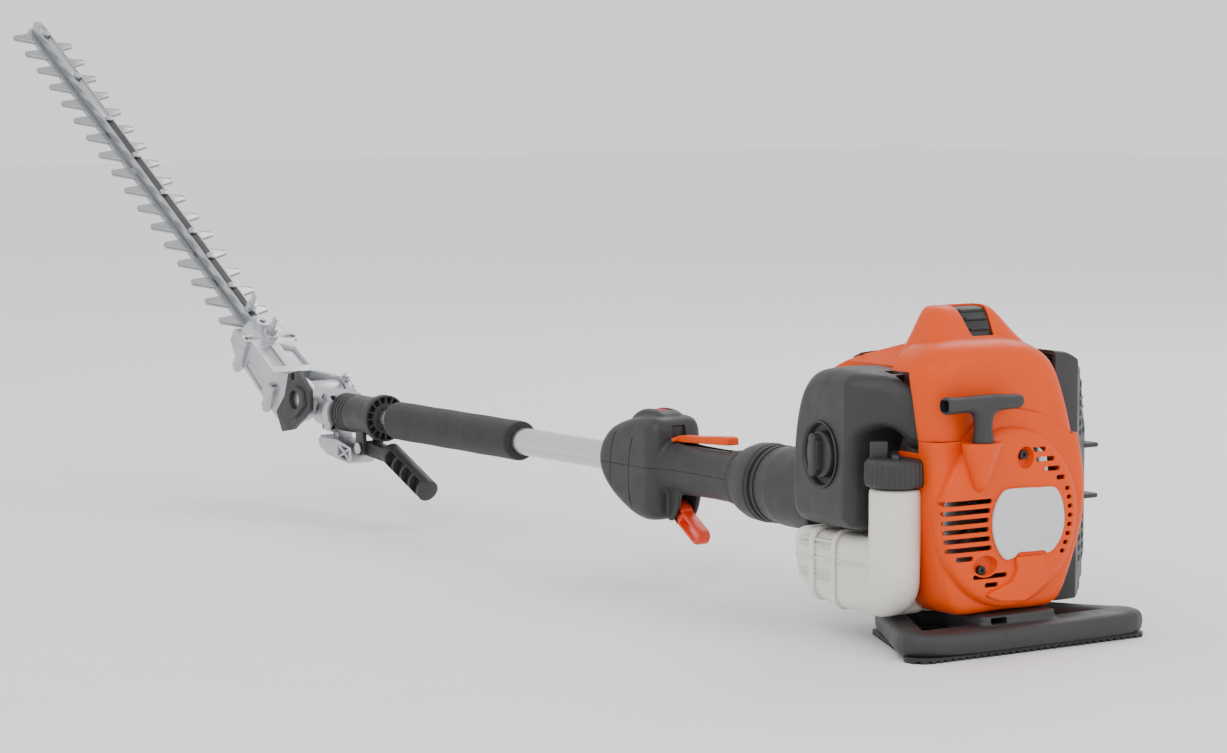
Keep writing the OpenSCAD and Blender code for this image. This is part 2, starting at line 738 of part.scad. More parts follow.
// ---- Cutter head, in its own frame ----
module cheek() {
    circle(24);
    polygon([[-4, 23.6], [30, 10], [64, bar_top], [64, -47], [34, -50], [6, -44], [-14, -19.5]]);
}
module gear_case_lower() {
    color(alloy) head() difference() {
        union() {
            for (y = [-cheek_out, cheek_in]) side(y, y + cheek_out - cheek_in) cheek();
            side(-cheek_out, cheek_out)
                polygon([[46, -26], [case_end, -26], [case_end, -36], [150, -44], [64, -48], [46, -48]]);
            for (y = [-cheek_out, 17]) block([64, y, -27], [case_end, y + 11, bar_bottom + 0.2]);
            for (x = [54, 132], s = [-1, 1]) rod_z(-49, bar_bottom + 0.2, 7, x, s * 30);
        }
        rod_y(-40, 40, 10 + run, 0, 0);
        rod_z(-44, -20, 23, 100, 0);
        rod_z(-60, -40, 5, 100, 0);
        translate([50, 0, -34]) rotate([0, 90, 0]) cylinder(h = 40, r = 9);
        for (x = [54, 132], s = [-1, 1]) rod_z(-60, 0, 2.6, x, s * 30);
        for (y = [-40, 25.5]) side(y, y + 14.5) polygon([[76, -30], [122, -30], [122, -40], [76, -44]]);
    }
}
module gear_case_upper() {
    color(alloy) head() difference() {
        union() {
            plan(bar_bottom + 0.2, bar_top)
                polygon([[64.2, -28], [150, -28], [case_end, -12], [case_end, 12], [150, 28], [64.2, 28]]);
            for (x = [131, 155]) rod_z(bar_top, bar_top + 6, 8.5, x, 0);
            rod_z(bar_bottom + 0.2, bar_top, 7, 132, 30);
            rod_z(bar_bottom + 0.2, bar_top, 7, 132, -30);
        }
        for (s = [-1, 1]) rod_z(-60, 0, 2.6, 132, s * 30);
        for (x = [131, 155]) rod_z(-40, 10, 3.2, x, 0);
        for (s = [-1, 1]) plan(-13, 0) polygon([[76, s * 6], [118, s * 6], [110, s * 22], [76, s * 24]]);
    }
}
module pivot_cover() {
    color(dark) head() difference() {
        union() {
            side(cheek_out + 0.2, 33)
                polygon([[-30, 8], [-18, 26], [14, 30], [30, 14], [24, -12], [30, -38], [8, -50], [-10, -34]]);
            side(33, 36) polygon([[-20, 6], [-8, 18], [8, 14], [14, -10], [4, -30], [-10, -18]]);
        }
        rod_y(20, 40, 10.6, 0, 0);
        rod_y(30, 40, 4.2, 20, 18);
    }
}
module case_screws() {
    color(steel) head() {
        for (x = [54, 132], s = [-1, 1]) rod_z(-54, -24, 2.5, x, s * 30);
        for (x = [54, 132], s = [-1, 1]) rod_z(-54, -49.1, 4.8, x, s * 30);
        rod_z(-8, 18, 3, 131, 0);
        translate([131, 0, -2.9]) cylinder(h = 8, r = 6.5, $fn = 6);
        rod_z(bar_top, 14, 3, 185, 0);
        translate([185, 0, bar_top]) cylinder(h = 10, r = 6.5, $fn = 6);
        rod_z(24.5, 31, 4.6, 0, -24);
    }
    color(steel) head() difference() {
        rod_y(-32, -28.2, 24, 0, 0);
        rod_y(-33, -27, 10.6, 0, 0);
        for (a = [0:30:330]) rotate([0, a, 0]) block([19, -34, -1.5], [26, -30, 1.5]);
    }
}
module eccentric_gear() {
    color(steel) head() difference() {
        union() {
            rod_z(-42, -34, 21, 100, 0);
            rod_z(-34, -28, 11, 106, 0);
        }
        rod_z(-45, -20, 4, 100, 0);
        for (a = [0:12:348]) translate([100, 0, 0]) rotate(a) block([19, -0.9, -43], [23, 0.9, -33]);
    }
}
module bolt_slots(reach) {
    for (x = bolt_places) translate([x, 0]) bar2d([-reach, 0], [reach, 0], bolt_r + 0.5);
}
module guide_bar() {
    color(steel) head() {
        difference() {
            union() {
                block([case_end, -6.5, bar_bottom], [bar_end, 6.5, bar_top]);
                rod_z(bar_bottom, bar_top, 6.5, bar_end, 0);
            }
            for (x = bolt_places) rod_z(-40, 0, bolt_r, x, 0);
            block([174, -4.8, bar_top - 1.4], [bar_end - 4, 4.8, 0]);
        }
        for (x = bolt_places) {
            rod_z(-28.4, -5.6, bolt_r - 0.02, x, 0);
            rod_z(-28.4, blade_split - blade_t - 0.4, 6, x, 0);
            translate([x, 0, bar_top + 0.1]) cylinder(h = 3, r = 5.4, $fn = 6);
        }
    }
}
module tooth(x, s) {
    p = [[x - 13, s * 10], [x + 9, s * 10], [x + 4, s * (tooth_reach - 0.5)], [x - 3, s * tooth_reach]];
    polygon([for (i = [0:3]) p[s > 0 ? i : 3 - i]]);
}
module blade_outline() {
    difference() {
        union() {
            translate([120, -12]) square([bar_end - 122, 24]);
            translate([bar_end - 2, 0]) circle(12);
            for (i = [0:tooth_count - 1]) tooth(185 + i * tooth_pitch, 1);
            for (i = [0:tooth_count - 2]) tooth(204 + i * tooth_pitch, -1);
        }
        bolt_slots(stroke + 0.6);
        translate([131, 0]) bar2d([-4, 0], [26, 0], 4.2);
    }
}
module upper_blade() { color(alloy) head() plan(blade_top - blade_t, blade_top) blade_outline(); }
module lower_blade() { color(alloy) head() plan(blade_split - blade_t, blade_split) blade_outline(); }

foot_frame();
foot_tread();
fuel_tank();
tank_cap();
crankcase();
cylinder_block();  // cylinder
piston();
crankshaft();
flywheel();
ignition_coil();
spark_plug();
plug_boot();
muffler();
muffler_guard();
carburettor();
filter_base();
air_filter();
filter_cover();
filter_knob();
primer_bulb();
choke_lever();
top_cover();
hump_vent();
cover_trim();
starter_housing();
badge();
rope_pulley();
recoil_spring();
starter_rope();
starter_grip();
housing_screws();
front_shroud();
clutch_housing();
clutch_shoes();
clutch_drum();
damper_ring();
coupling_boot();
handle_upper();
handle_lower();
throttle_trigger();
lockout_lever();
stop_switch();
main_tube();
shaft_bushes();
drive_shaft();
foam_grip();
collar_sleeve();
lever_pin();
lock_lever();
neck_housing();
skid_arm();
pivot_gear();
gear_case_lower();
gear_case_upper();
pivot_cover();
case_screws();
eccentric_gear();
guide_bar();
upper_blade();
lower_blade();
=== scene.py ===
import json
import math

import bmesh
import bpy
import numpy as np
from mathutils import Matrix, Vector


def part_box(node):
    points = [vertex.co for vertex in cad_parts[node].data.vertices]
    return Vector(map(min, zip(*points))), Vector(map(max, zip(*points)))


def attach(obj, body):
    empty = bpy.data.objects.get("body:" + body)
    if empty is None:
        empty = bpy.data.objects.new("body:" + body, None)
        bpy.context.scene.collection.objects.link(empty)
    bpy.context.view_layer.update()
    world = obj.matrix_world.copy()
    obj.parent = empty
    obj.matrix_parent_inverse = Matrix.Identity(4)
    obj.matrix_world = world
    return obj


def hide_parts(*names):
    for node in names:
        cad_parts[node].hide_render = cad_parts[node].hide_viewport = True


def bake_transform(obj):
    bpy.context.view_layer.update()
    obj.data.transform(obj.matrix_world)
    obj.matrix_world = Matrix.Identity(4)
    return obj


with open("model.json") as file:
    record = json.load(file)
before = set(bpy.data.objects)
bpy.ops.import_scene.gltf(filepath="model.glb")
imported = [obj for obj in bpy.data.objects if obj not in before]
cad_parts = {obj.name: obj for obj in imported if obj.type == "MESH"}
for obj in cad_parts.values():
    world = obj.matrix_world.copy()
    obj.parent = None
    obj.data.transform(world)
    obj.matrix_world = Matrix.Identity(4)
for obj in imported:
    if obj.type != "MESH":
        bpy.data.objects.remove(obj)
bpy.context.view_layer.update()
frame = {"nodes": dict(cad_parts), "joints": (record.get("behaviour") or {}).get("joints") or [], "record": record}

MM = 0.001
POLE_Z = 109   # height of the pole's axis
JOINT = {j["name"]: j for j in frame["joints"]}
BODY = {n: b for b, names in frame["record"]["behaviour"]["bodies"].items() for n in names}
SLOT = {s["node"]: s["material_slot"] for s in frame["record"]["subparts"]}


def span(node):
    """Lowest and highest corner of a CAD node, in millimetres."""
    lo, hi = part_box(node)
    return np.array(lo) / MM, np.array(hi) / MM


def joint_at(name):
    return np.array(JOINT[name]["pos_m"]) / MM


# ---------------------------------------------------------------- camera, lights and floor

LENS_MM, SENSOR_MM, VIEW_DEPTH = 105.6, 36, 30
CAMERA_PLACE = (-2.297, 2.040, 0.526)
CAMERA_AIM = (0.8155, -0.5710, -0.0944)
SKY_STRENGTH = 1.2


def add_camera():
    cam = bpy.data.cameras.new("camera")
    cam.lens = LENS_MM
    cam.sensor_width = SENSOR_MM
    cam.clip_end = VIEW_DEPTH
    obj = bpy.data.objects.new("camera", cam)
    obj.location = CAMERA_PLACE
    obj.rotation_euler = Vector(CAMERA_AIM).to_track_quat("-Z", "Y").to_euler()
    bpy.context.scene.collection.objects.link(obj)
    bpy.context.scene.camera = obj


def add_area(name, place, target, size, power, tint=(1, 1, 1)):
    light = bpy.data.lights.new(name, "AREA")
    light.shape = "RECTANGLE"
    light.size, light.size_y = size
    light.energy = power
    light.color = tint
    obj = bpy.data.objects.new(name, light)
    obj.location = place
    aim = Vector(target) - Vector(place)
    obj.rotation_euler = aim.to_track_quat("-Z", "Y").to_euler()
    bpy.context.scene.collection.objects.link(obj)


def add_studio():
    world = bpy.data.worlds.new("studio")
    world.use_nodes = True
    world.node_tree.nodes["Background"].inputs[0].default_value = (1, 1, 1, 1)
    world.node_tree.nodes["Background"].inputs[1].default_value = SKY_STRENGTH
    bpy.context.scene.world = world
    add_area("key", (-1.6, 2.6, 2.6), (0.3, 0, 0.1), (1.6, 1.6), 38)
    add_area("rim", (1.6, -2.2, 2.4), (0.6, 0, 0.1), (2.0, 1.2), 26)
    add_area("rear_fill", (-2.6, -0.8, 1.1), (0.1, 0, 0.15), (1.0, 1.6), 14)
    mesh = bpy.data.meshes.new("floor")
    mesh.from_pydata([(-9, -9, 0), (11, -9, 0), (11, 9, 0), (-9, 9, 0)], [], [(0, 1, 2, 3)])
    floor = bpy.data.objects.new("floor", mesh)
    bpy.context.scene.collection.objects.link(floor)
    floor.data.materials.append(material("floor_paper", (0.93, 0.93, 0.93), 0.8, vary=0.008, bump=0.02))


# ---------------------------------------------------------------- materials

RELIEF_DEPTH = 0.0006   # metres
LEAST_GLOSS = 0.03      # lowest roughness a finish may have


def material(name, colour, rough, metal=0.0, vary=0.06, patch=14, grain=900, bump=0.12,
             rough_vary=0.08, stretch=(1, 1, 1), glow=0.0, spread=0.01, sheen=0.0, shine=0.5):
    """A procedural finish: colour that drifts a little, uneven gloss and a fine surface grain."""
    mat = bpy.data.materials.new(name)
    mat.use_nodes = True
    tree = mat.node_tree
    shader = tree.nodes["Principled BSDF"]
    shader.inputs["Metallic"].default_value = metal
    shader.inputs["Sheen Weight"].default_value = sheen
    shader.inputs["Specular IOR Level"].default_value = shine
    if glow:
        shader.inputs["Subsurface Weight"].default_value = glow
        shader.inputs["Subsurface Radius"].default_value = (1.0, 0.95, 0.85)
        shader.inputs["Subsurface Scale"].default_value = spread
    place = tree.nodes.new("ShaderNodeTexCoord")
    mapping = tree.nodes.new("ShaderNodeMapping")
    mapping.inputs["Scale"].default_value = stretch
    tree.links.new(place.outputs["Object"], mapping.inputs["Vector"])

    def noise(scale, detail, roughness=0.55):
        node = tree.nodes.new("ShaderNodeTexNoise")
        node.inputs["Scale"].default_value = scale
        node.inputs["Detail"].default_value = detail
        node.inputs["Roughness"].default_value = roughness
        tree.links.new(mapping.outputs["Vector"], node.inputs["Vector"])
        return node

    def ramp(source, low, high):
        node = tree.nodes.new("ShaderNodeValToRGB")
        node.color_ramp.elements[0].position = 0.3
        node.color_ramp.elements[1].position = 0.7
        node.color_ramp.elements[0].color = low
        node.color_ramp.elements[1].color = high
        tree.links.new(source.outputs["Fac"], node.inputs["Fac"])
        return node

    low = tuple(c * (1 - vary) for c in colour) + (1,)
    high = tuple(min(1, c * (1 + vary)) for c in colour) + (1,)
    tint = ramp(noise(patch, 5), low, high)
    tree.links.new(tint.outputs["Color"], shader.inputs["Base Color"])
    gloss_low, gloss_high = max(LEAST_GLOSS, rough - rough_vary), min(1, rough + rough_vary)
    gloss = ramp(noise(patch * 4, 6), (gloss_low,) * 3 + (1,), (gloss_high,) * 3 + (1,))
    tree.links.new(gloss.outputs["Color"], shader.inputs["Roughness"])
    relief = tree.nodes.new("ShaderNodeBump")
    relief.inputs["Strength"].default_value = bump
    relief.inputs["Distance"].default_value = RELIEF_DEPTH
    tree.links.new(noise(grain, 3, 0.6).outputs["Fac"], relief.inputs["Height"])
    tree.links.new(relief.outputs["Normal"], shader.inputs["Normal"])
    return mat


# colour, roughness and what differs from the plain finish, for each material slot of the record
FINISHES = {
    "orange_plastic": ((0.76, 0.07, 0.0), 0.42, dict(vary=0.03, grain=1400, bump=0.08, shine=0.22)),
    "dark_plastic": ((0.024, 0.024, 0.0255), 0.5, dict(vary=0.08, grain=1300, bump=0.22)),
    "black_plastic": ((0.013, 0.013, 0.014), 0.46, dict(vary=0.1, grain=1200, bump=0.18)),
    "black_rubber": ((0.009, 0.009, 0.010), 0.66, dict(vary=0.12, grain=1000, bump=0.3, sheen=0.1)),
    "tank_plastic": ((0.74, 0.72, 0.66), 0.36,
                     dict(vary=0.025, grain=700, bump=0.08, glow=0.45, spread=0.012)),
    "badge_plastic": ((0.60, 0.61, 0.63), 0.36, dict(metal=0.1, vary=0.02, grain=1600, bump=0.04)),
    "signal_plastic": ((0.74, 0.035, 0.004), 0.36, dict(vary=0.05, grain=1200, bump=0.1)),
    "stop_plastic": ((0.66, 0.006, 0.03), 0.34, dict(vary=0.05, grain=1200, bump=0.1)),
    "grip_foam": ((0.018, 0.018, 0.019), 0.84, dict(vary=0.2, patch=60, grain=1500, bump=0.5, sheen=0.12)),
    "filter_felt": ((0.05, 0.05, 0.05), 0.9, dict(vary=0.2, grain=1600, bump=0.7)),
    "rope_fibre": ((0.05, 0.05, 0.055), 0.8, dict(vary=0.3, patch=200, grain=2500, bump=0.6)),
    "tube_alloy": ((0.62, 0.63, 0.65), 0.26,
                   dict(metal=1, vary=0.03, patch=8, grain=500, bump=0.03, stretch=(0.06, 1, 1))),
    "cast_alloy": ((0.52, 0.53, 0.55), 0.36, dict(metal=0.92, vary=0.06, patch=22, grain=800, bump=0.16)),
    "blade_steel": ((0.40, 0.41, 0.43), 0.27,
                    dict(metal=1, vary=0.07, patch=30, grain=600, bump=0.05, stretch=(1, 0.2, 1))),
    "bar_steel": ((0.48, 0.49, 0.51), 0.3,
                  dict(metal=1, vary=0.06, patch=20, grain=700, bump=0.05, stretch=(0.15, 1, 0.3))),
    "machined_steel": ((0.5, 0.51, 0.53), 0.3, dict(metal=1, vary=0.08, grain=900, bump=0.06)),
    "black_steel": ((0.03, 0.03, 0.033), 0.38, dict(metal=0.6, vary=0.1, grain=900, bump=0.1)),
}


def build_finishes():
    return {name: material(name, colour, rough, **more) for name, (colour, rough, more) in FINISHES.items()}


# ---------------------------------------------------------------- mesh tools, in millimetres

def new_object(name, verts, faces):
    mesh = bpy.data.meshes.new(name)
    mesh.from_pydata([tuple(v) for v in np.asarray(verts, float) * MM], [], faces)
    work = bmesh.new()
    work.from_mesh(mesh)
    bmesh.ops.recalc_face_normals(work, faces=work.faces)
    work.to_mesh(mesh)
    work.free()
    obj = bpy.data.objects.new(name, mesh)
    bpy.context.scene.collection.objects.link(obj)
    return obj


def curve_through(points, n, closed=True, sharp=0.5):
    """n points spaced evenly along a smooth curve through the given ones."""
    p = np.asarray(points, float)
    m = len(p)
    fine = []
    for i in range(m if closed else m - 1):
        if closed:
            a, b, c, d = p[i - 1], p[i], p[(i + 1) % m], p[(i + 2) % m]
        else:
            a, b, c, d = p[max(i - 1, 0)], p[i], p[i + 1], p[min(i + 2, m - 1)]
        reach = np.linalg.norm(c - b)
        tangent_b = (c - a) * sharp * 2 * reach / max(np.linalg.norm(c - b) + np.linalg.norm(b - a), 1e-9)
        tangent_c = (d - b) * sharp * 2 * reach / max(np.linalg.norm(d - c) + np.linalg.norm(c - b), 1e-9)
        for t in np.linspace(0, 1, 16, endpoint=False):
            h = (2 * t**3 - 3 * t**2 + 1, t**3 - 2 * t**2 + t, -2 * t**3 + 3 * t**2, t**3 - t**2)
            fine.append(h[0] * b + h[1] * tangent_b + h[2] * c + h[3] * tangent_c)
    fine.append(fine[0] if closed else p[-1])
    fine = np.array(fine)
    run = np.concatenate([[0], np.cumsum(np.linalg.norm(np.diff(fine, axis=0), axis=1))])
    at = np.linspace(0, run[-1], n, endpoint=not closed)
    return np.stack([np.interp(at, run, fine[:, k]) for k in range(fine.shape[1])], 1)


def rounded(lo, hi, r, n=6):
    """A rectangle with round corners, anticlockwise."""
    out = []
    left, right, low, high = lo[0] + r, hi[0] - r, lo[1] + r, hi[1] - r
    for cx, cy, a0 in ((right, low, -90), (right, high, 0), (left, high, 90), (left, low, 180)):
        for k in range(n + 1):
            a = math.radians(a0 + 90 * k / n)
            out.append((cx + r * math.cos(a), cy + r * math.sin(a)))
    return np.array(out)


def squircle(n, across, along):
    """A unit circle squared off by powers below 1."""
    a = np.linspace(0, 2 * math.pi, n, endpoint=False)
    c, s = np.cos(a), np.sin(a)
    return np.stack([np.sign(c) * np.abs(c) ** across, np.sign(s) * np.abs(s) ** along], 1)


def circle(cx, cy, r, n=48, ry=None):
    a = np.linspace(0, 2 * math.pi, n, endpoint=False)
    return np.stack([cx + r * np.cos(a), cy + (ry or r) * np.sin(a)], 1)


def inset(outline, d):
    """The outline moved inwards by d, a little at a time so that it never crosses itself."""
    p = np.array(outline, float)
    area = np.sum(p[:, 0] * np.roll(p[:, 1], -1) - np.roll(p[:, 0], -1) * p[:, 1])
    steps = max(1, int(abs(d) / 0.7))
    for _ in range(steps):
        before, after = p - np.roll(p, 1, 0), np.roll(p, -1, 0) - p
        before /= np.maximum(np.linalg.norm(before, axis=1), 1e-9)[:, None]
        after /= np.maximum(np.linalg.norm(after, axis=1), 1e-9)[:, None]
        t = before + after
        t /= np.maximum(np.linalg.norm(t, axis=1), 1e-9)[:, None]
        reach = d / steps / np.maximum(np.sum(t * after, 1), 0.6)
        p += np.stack([-t[:, 1], t[:, 0]], 1) * (reach if area > 0 else -reach)[:, None]
        if steps > 3:
            p = 0.5 * p + 0.25 * (np.roll(p, 1, 0) + np.roll(p, -1, 0))
    return p


def lift(outline, axis, at):
    """Puts a 2D outline in the plane where the axis has the value at."""
    p = np.asarray(outline, float)
    k = np.full(len(p), float(at))
    u, v = p[:, 0], p[:, 1]
    return np.stack({"x": [k, u, v], "y": [u, k, v], "z": [u, v, k]}[axis], 1)


def loft(name, rings, caps=(True, True)):
    """A skin over rings of equal length, with flat ends where caps says so."""
    k = len(rings[0])
    verts = np.concatenate(rings)
    faces = []
    for i in range(len(rings) - 1):
        for j in range(k):
            a, b = i * k + j, i * k + (j + 1) % k
            faces.append((a, b, b + k, a + k))
    if caps[0]:
        faces.append(tuple(range(k))[::-1])
    if caps[1]:
        faces.append(tuple(range((len(rings) - 1) * k, len(rings) * k)))
    return new_object(name, verts, faces)


def edge_steps(a, b, r, seg=4):
    """Positions and insets that round both ends of a pad."""
    if r <= 0:
        return [(a, 0), (b, 0)]
    start = [(a + r * (1 - math.cos(t)), r * (1 - math.sin(t))) for t in np.linspace(0, math.pi / 2,
            seg + 1)]
    return start + [(a + b - z, d) for z, d in reversed(start)]


def pad(name, outline, axis, a, b, r=0.0, seg=4):
    """A block of the given outline along an axis, with rounded edges."""
    return loft(name, [lift(inset(outline, d), axis, at) for at, d in edge_steps(a, b, r, seg)])


def revolve(name, profile, centre, direction, n=96, closed=False, wobble=None):
    """Turns (distance, radius) points about a line."""
    d = np.array(direction, float)
    d /= np.linalg.norm(d)
    u = np.cross(d, (0, 0, 1) if abs(d[2]) < 0.9 else (1, 0, 0))
    u /= np.linalg.norm(u)
    w = np.cross(d, u)
    a = np.linspace(0, 2 * math.pi, n, endpoint=False)
    rings = []
    for t, r in profile:
        rr = r + (wobble(a, t) if wobble else 0)
        across = (np.cos(a) * rr)[:, None] * u
        rings.append(np.asarray(centre, float) + d * t + across + (np.sin(a) * rr)[:, None] * w)
    if closed:
        rings.append(rings[0])
    obj = loft(name, rings, (not closed, not closed))
    if closed:
        weld(obj)
    return obj


def wall(profile, t):
    """The closed section of a wall t thick behind an open profile."""
    p = np.array(profile, float)
    d = np.gradient(p, axis=0)
    d /= np.linalg.norm(d, axis=1)[:, None]
    return list(p) + list((p + np.stack([-d[:, 1], d[:, 0]], 1) * t)[::-1])


def sweep(name, path, section, up=(0, 0, 1), closed=False, scale=None):
    """Carries a 2D section along a path."""
    p = np.asarray(path, float)
    rings = []
    for i in range(len(p)):
        before, after = (p[i - 1], p[(i + 1) % len(p)]) if closed else (p[max(i - 1, 0)],
                p[min(i + 1, len(p) - 1)])
        t = after - before
        t /= np.linalg.norm(t)
        sidewise = np.cross(t, up)
        sidewise /= np.linalg.norm(sidewise)
        top = np.cross(sidewise, t)
        s = np.asarray(section, float) * (1 if scale is None else np.asarray(scale[i]))
        rings.append(p[i] + s[:, :1] * sidewise + s[:, 1:] * top)
    if closed:
        rings.append(rings[0])
    obj = loft(name, rings, (not closed, not closed))
    if closed:
        weld(obj)
    return obj


WELD_REACH = 0.00001   # metres


def weld(obj):
    """Joins the points that lie on each other."""
    work = bmesh.new()
    work.from_mesh(obj.data)
    bmesh.ops.remove_doubles(work, verts=work.verts, dist=WELD_REACH)
    bmesh.ops.recalc_face_normals(work, faces=work.faces)
    work.to_mesh(obj.data)
    work.free()
    return obj


def apply_modifiers(obj):
    bpy.context.view_layer.update()
    graph = bpy.context.evaluated_depsgraph_get()
    mesh = bpy.data.meshes.new_from_object(obj.evaluated_get(graph))
    old = obj.data
    obj.modifiers.clear()
    obj.data = mesh
    bpy.data.meshes.remove(old)
    return obj


def modify(obj, kind, **settings):
    mod = obj.modifiers.new(kind.lower(), kind)
    for key, value in settings.items():
        setattr(mod, key, value)
    return apply_modifiers(obj)


def boolean(obj, operation, *others):
    for other in others:
        modify(obj, "BOOLEAN", operation=operation, object=other, solver="EXACT")
        bpy.data.objects.remove(other)
    return obj


def cut(obj, *others):
    return boolean(obj, "DIFFERENCE", join("cutter", *others))


def join(name, *objs):
    """One object that holds every shell of the others."""
    work = bmesh.new()
    for o in objs:
        work.from_mesh(o.data)
    mesh = bpy.data.meshes.new(name)
    work.to_mesh(mesh)
    work.free()
    for o in objs:
        bpy.data.objects.remove(o)
    obj = bpy.data.objects.new(name, mesh)
    bpy.context.scene.collection.objects.link(obj)
    return obj


def solidify(obj, thickness):
    return weld(modify(obj, "SOLIDIFY", thickness=thickness * MM, offset=-1))


def melt(obj, voxel, passes):
    """Joins overlapping shells into one smooth moulding."""
    modify(obj, "REMESH", mode="VOXEL", voxel_size=voxel * MM)
    modify(obj, "SMOOTH", factor=0.5, iterations=passes)
    return obj


def soften(obj, width=0.5, angle=32):
    """Bevels the edges sharper than the angle, by the width, and shades the piece smooth."""
    if width:
        modify(obj, "BEVEL", width=width * MM, segments=2, limit_method="ANGLE",
               angle_limit=math.radians(angle))
    shade(obj)
    return obj


def shade(obj, angle=38):
    obj.data.shade_smooth()
    obj.data.set_sharp_from_angle(angle=math.radians(angle))


def finish_piece(obj, *nodes):
    """Gives a piece its node's finish and body, and shows it instead of the node."""
    slot_name = SLOT[nodes[0]]
    obj.data.materials.clear()
    obj.data.materials.append(FINISH[slot_name])
    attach(obj, BODY[nodes[0]])
    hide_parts(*nodes)
    return obj


def refine(node, width):
    """A copy of a CAD node with its edges eased."""
    mesh = frame["nodes"][node].data.copy()
    obj = bpy.data.objects.new(node + "_piece", mesh)
    bpy.context.scene.collection.objects.link(obj)
    weld(obj)
    soften(obj, width, 30)
    return finish_piece(obj, node)


# ---------------------------------------------------------------- engine covers

# y and z of the covers' outline and of the line between top cover and housing, from behind
BODY_EDGE = [(60, 34), (12, 34), (-38, 34), (-51, 40), (-61, 58), (-73.5, 90), (-79.5, 113), (-80, 146),
             (-72.5, 182), (-62.5, 216), (-49, 246), (-28, 261.5), (-4, 266.3), (24, 267.5), (54, 267),
             (80, 262), (95, 247), (95, 215), (94, 187), (92, 145), (86, 90), (76, 50), (70, 39)]
SPLIT = [(110, 184), (64, 184), (56, 190), (48, 200), (38, 207), (20, 209), (0, 208), (-24, 203),
         (-48, 189), (-60, 183), (-110, 182)]
DISC = (14, 116)   # middle of the round starter disc
WELLS = ((45, 77.6, 14, 9), (0.5, 167, 9.5, 10))   # y, z, half width and half height
TOP_FRONT = 203
SHOULDER_Z = 184   # above it the top cover slopes down towards the front
COVER_WALL = 2.8


def body_ring(x, d, slope=0.0):
    """The engine covers' outline at x, moved in by d, its top lowered by slope."""
    ring = inset(curve_through(BODY_EDGE, 132), d)
    high = ring[:, 1] > SHOULDER_Z
    ring[high, 1] = SHOULDER_Z + (ring[high, 1] - SHOULDER_Z) * (1 - slope)
    return lift(ring, "x", x)


def split_block(name, lift_by=0.0):
    """The space above the line where the top cover meets the housing."""
    top = [(y, z + lift_by) for y, z in SPLIT]
    outline = [(-130, 182 + lift_by), (-130, 320), (130, 320), (130, 184 + lift_by)] + top
    return pad(name, outline, "x", -60, 260)


def filter_side(cover, t):
    """Takes away the place beside the top cover that the filter cover fills."""
    low = [(43.2 - t, 242 + t), (230, 242 + t), (230, 100), (25 - t, 100), (34 - t, 184)]
    cut(cover, pad("low", low, "y", 67.2 - t, 130))
    k = 0.7 * t
    shoulder = [(67.2 - k, 200), (67.2 - k, 242 - k), (40 - k, 266 - k), (40 - k, 320), (130, 320),
                (130, 200)]
    return cut(cover, pad("shoulder", shoulder, "x", 66 - t, 230))


def top_cover():
    steps = [(13, 24, 0), (13.3, 18, 0), (14.6, 12, 0), (17.5, 7, 0), (23, 3, 0), (31, 0.8, 0), (42, 0, 0),
             (70, 0, 0.02), (100, 0, 0.066), (125, 0, 0.146), (150, 0, 0.225), (175, 0.4, 0.343),
             (195, 2, 0.456), (201, 5, 0.545), (TOP_FRONT, 9, 0.6)]
    cover = filter_side(loft("top_cover_piece", [body_ring(*s) for s in steps]), 0)
    inner = [body_ring(x + COVER_WALL, d + COVER_WALL, s) for x, d, s in steps]
    cut(cover, filter_side(loft("inside", inner), COVER_WALL))
    boolean(cover, "INTERSECT", split_block("zone", 0.35))
    hump = hump_shell()
    cut(cover, pad("under_hump", rounded((-22, 250), (50, 290), 10), "x", 60, 94))
    cover = join("top_cover_piece", cover, hump)
    soften(cover, 0.5, 40)
    finish_piece(cover, "top_cover")


def cover_trim():
    """The dark edge that stands proud across the front of the top cover."""
    steps = ((149.6, 0.2236), (150, 0.225), (160.6, 0.274), (161, 0.276))
    strip = loft("cover_trim_piece", [body_ring(x, -1.9 - 0.5 * (150 <= x < 161), s) for x, s in steps])
    inner = [body_ring(x, 0.3, s) for x, s in ((140, 0.18), (150, 0.225), (161, 0.276), (170, 0.32))]
    cut(strip, loft("inside", inner))
    boolean(strip, "INTERSECT", pad("zone", rounded((-110, 206), (62, 290), 2), "x", 140, 170))
    finish_piece(soften(strip, 0.3), "cover_trim")


def hump_ring(x0, x1, y0, y1, z, r):
    return lift(rounded((x0, y0), (x1, y1), r, 8), "z", z)


def hump_shell():
    steps = [(42, 99, -47, 69, 255, 20), (45, 97, -44, 66, 260.5, 18), (49, 95.5, -40, 63, 265, 16),
             (55, 94, -34, 58, 273, 14), (61, 92.5, -27, 52.5, 282.5, 12), (65, 91.5, -22, 48.5, 288.2, 10),
             (68, 90.5, -18.5, 45.5, 291.3, 8), (71, 89, -14.5, 42, 293, 6), (75, 86, -9, 37, 293.8, 3)]
    hump = loft("hump", [hump_ring(*s) for s in steps], (False, True))
    hump = solidify(hump, 2.6)
    window = [(51.5, -5.5), (51.5, 19), (72, 25), (83, 25), (83, -10), (72, -10)]
    cut(hump, loft("vent_hole", [lift(curve_sharp(window, 1.5), "z", z) for z in (262, 300)]))
    return hump


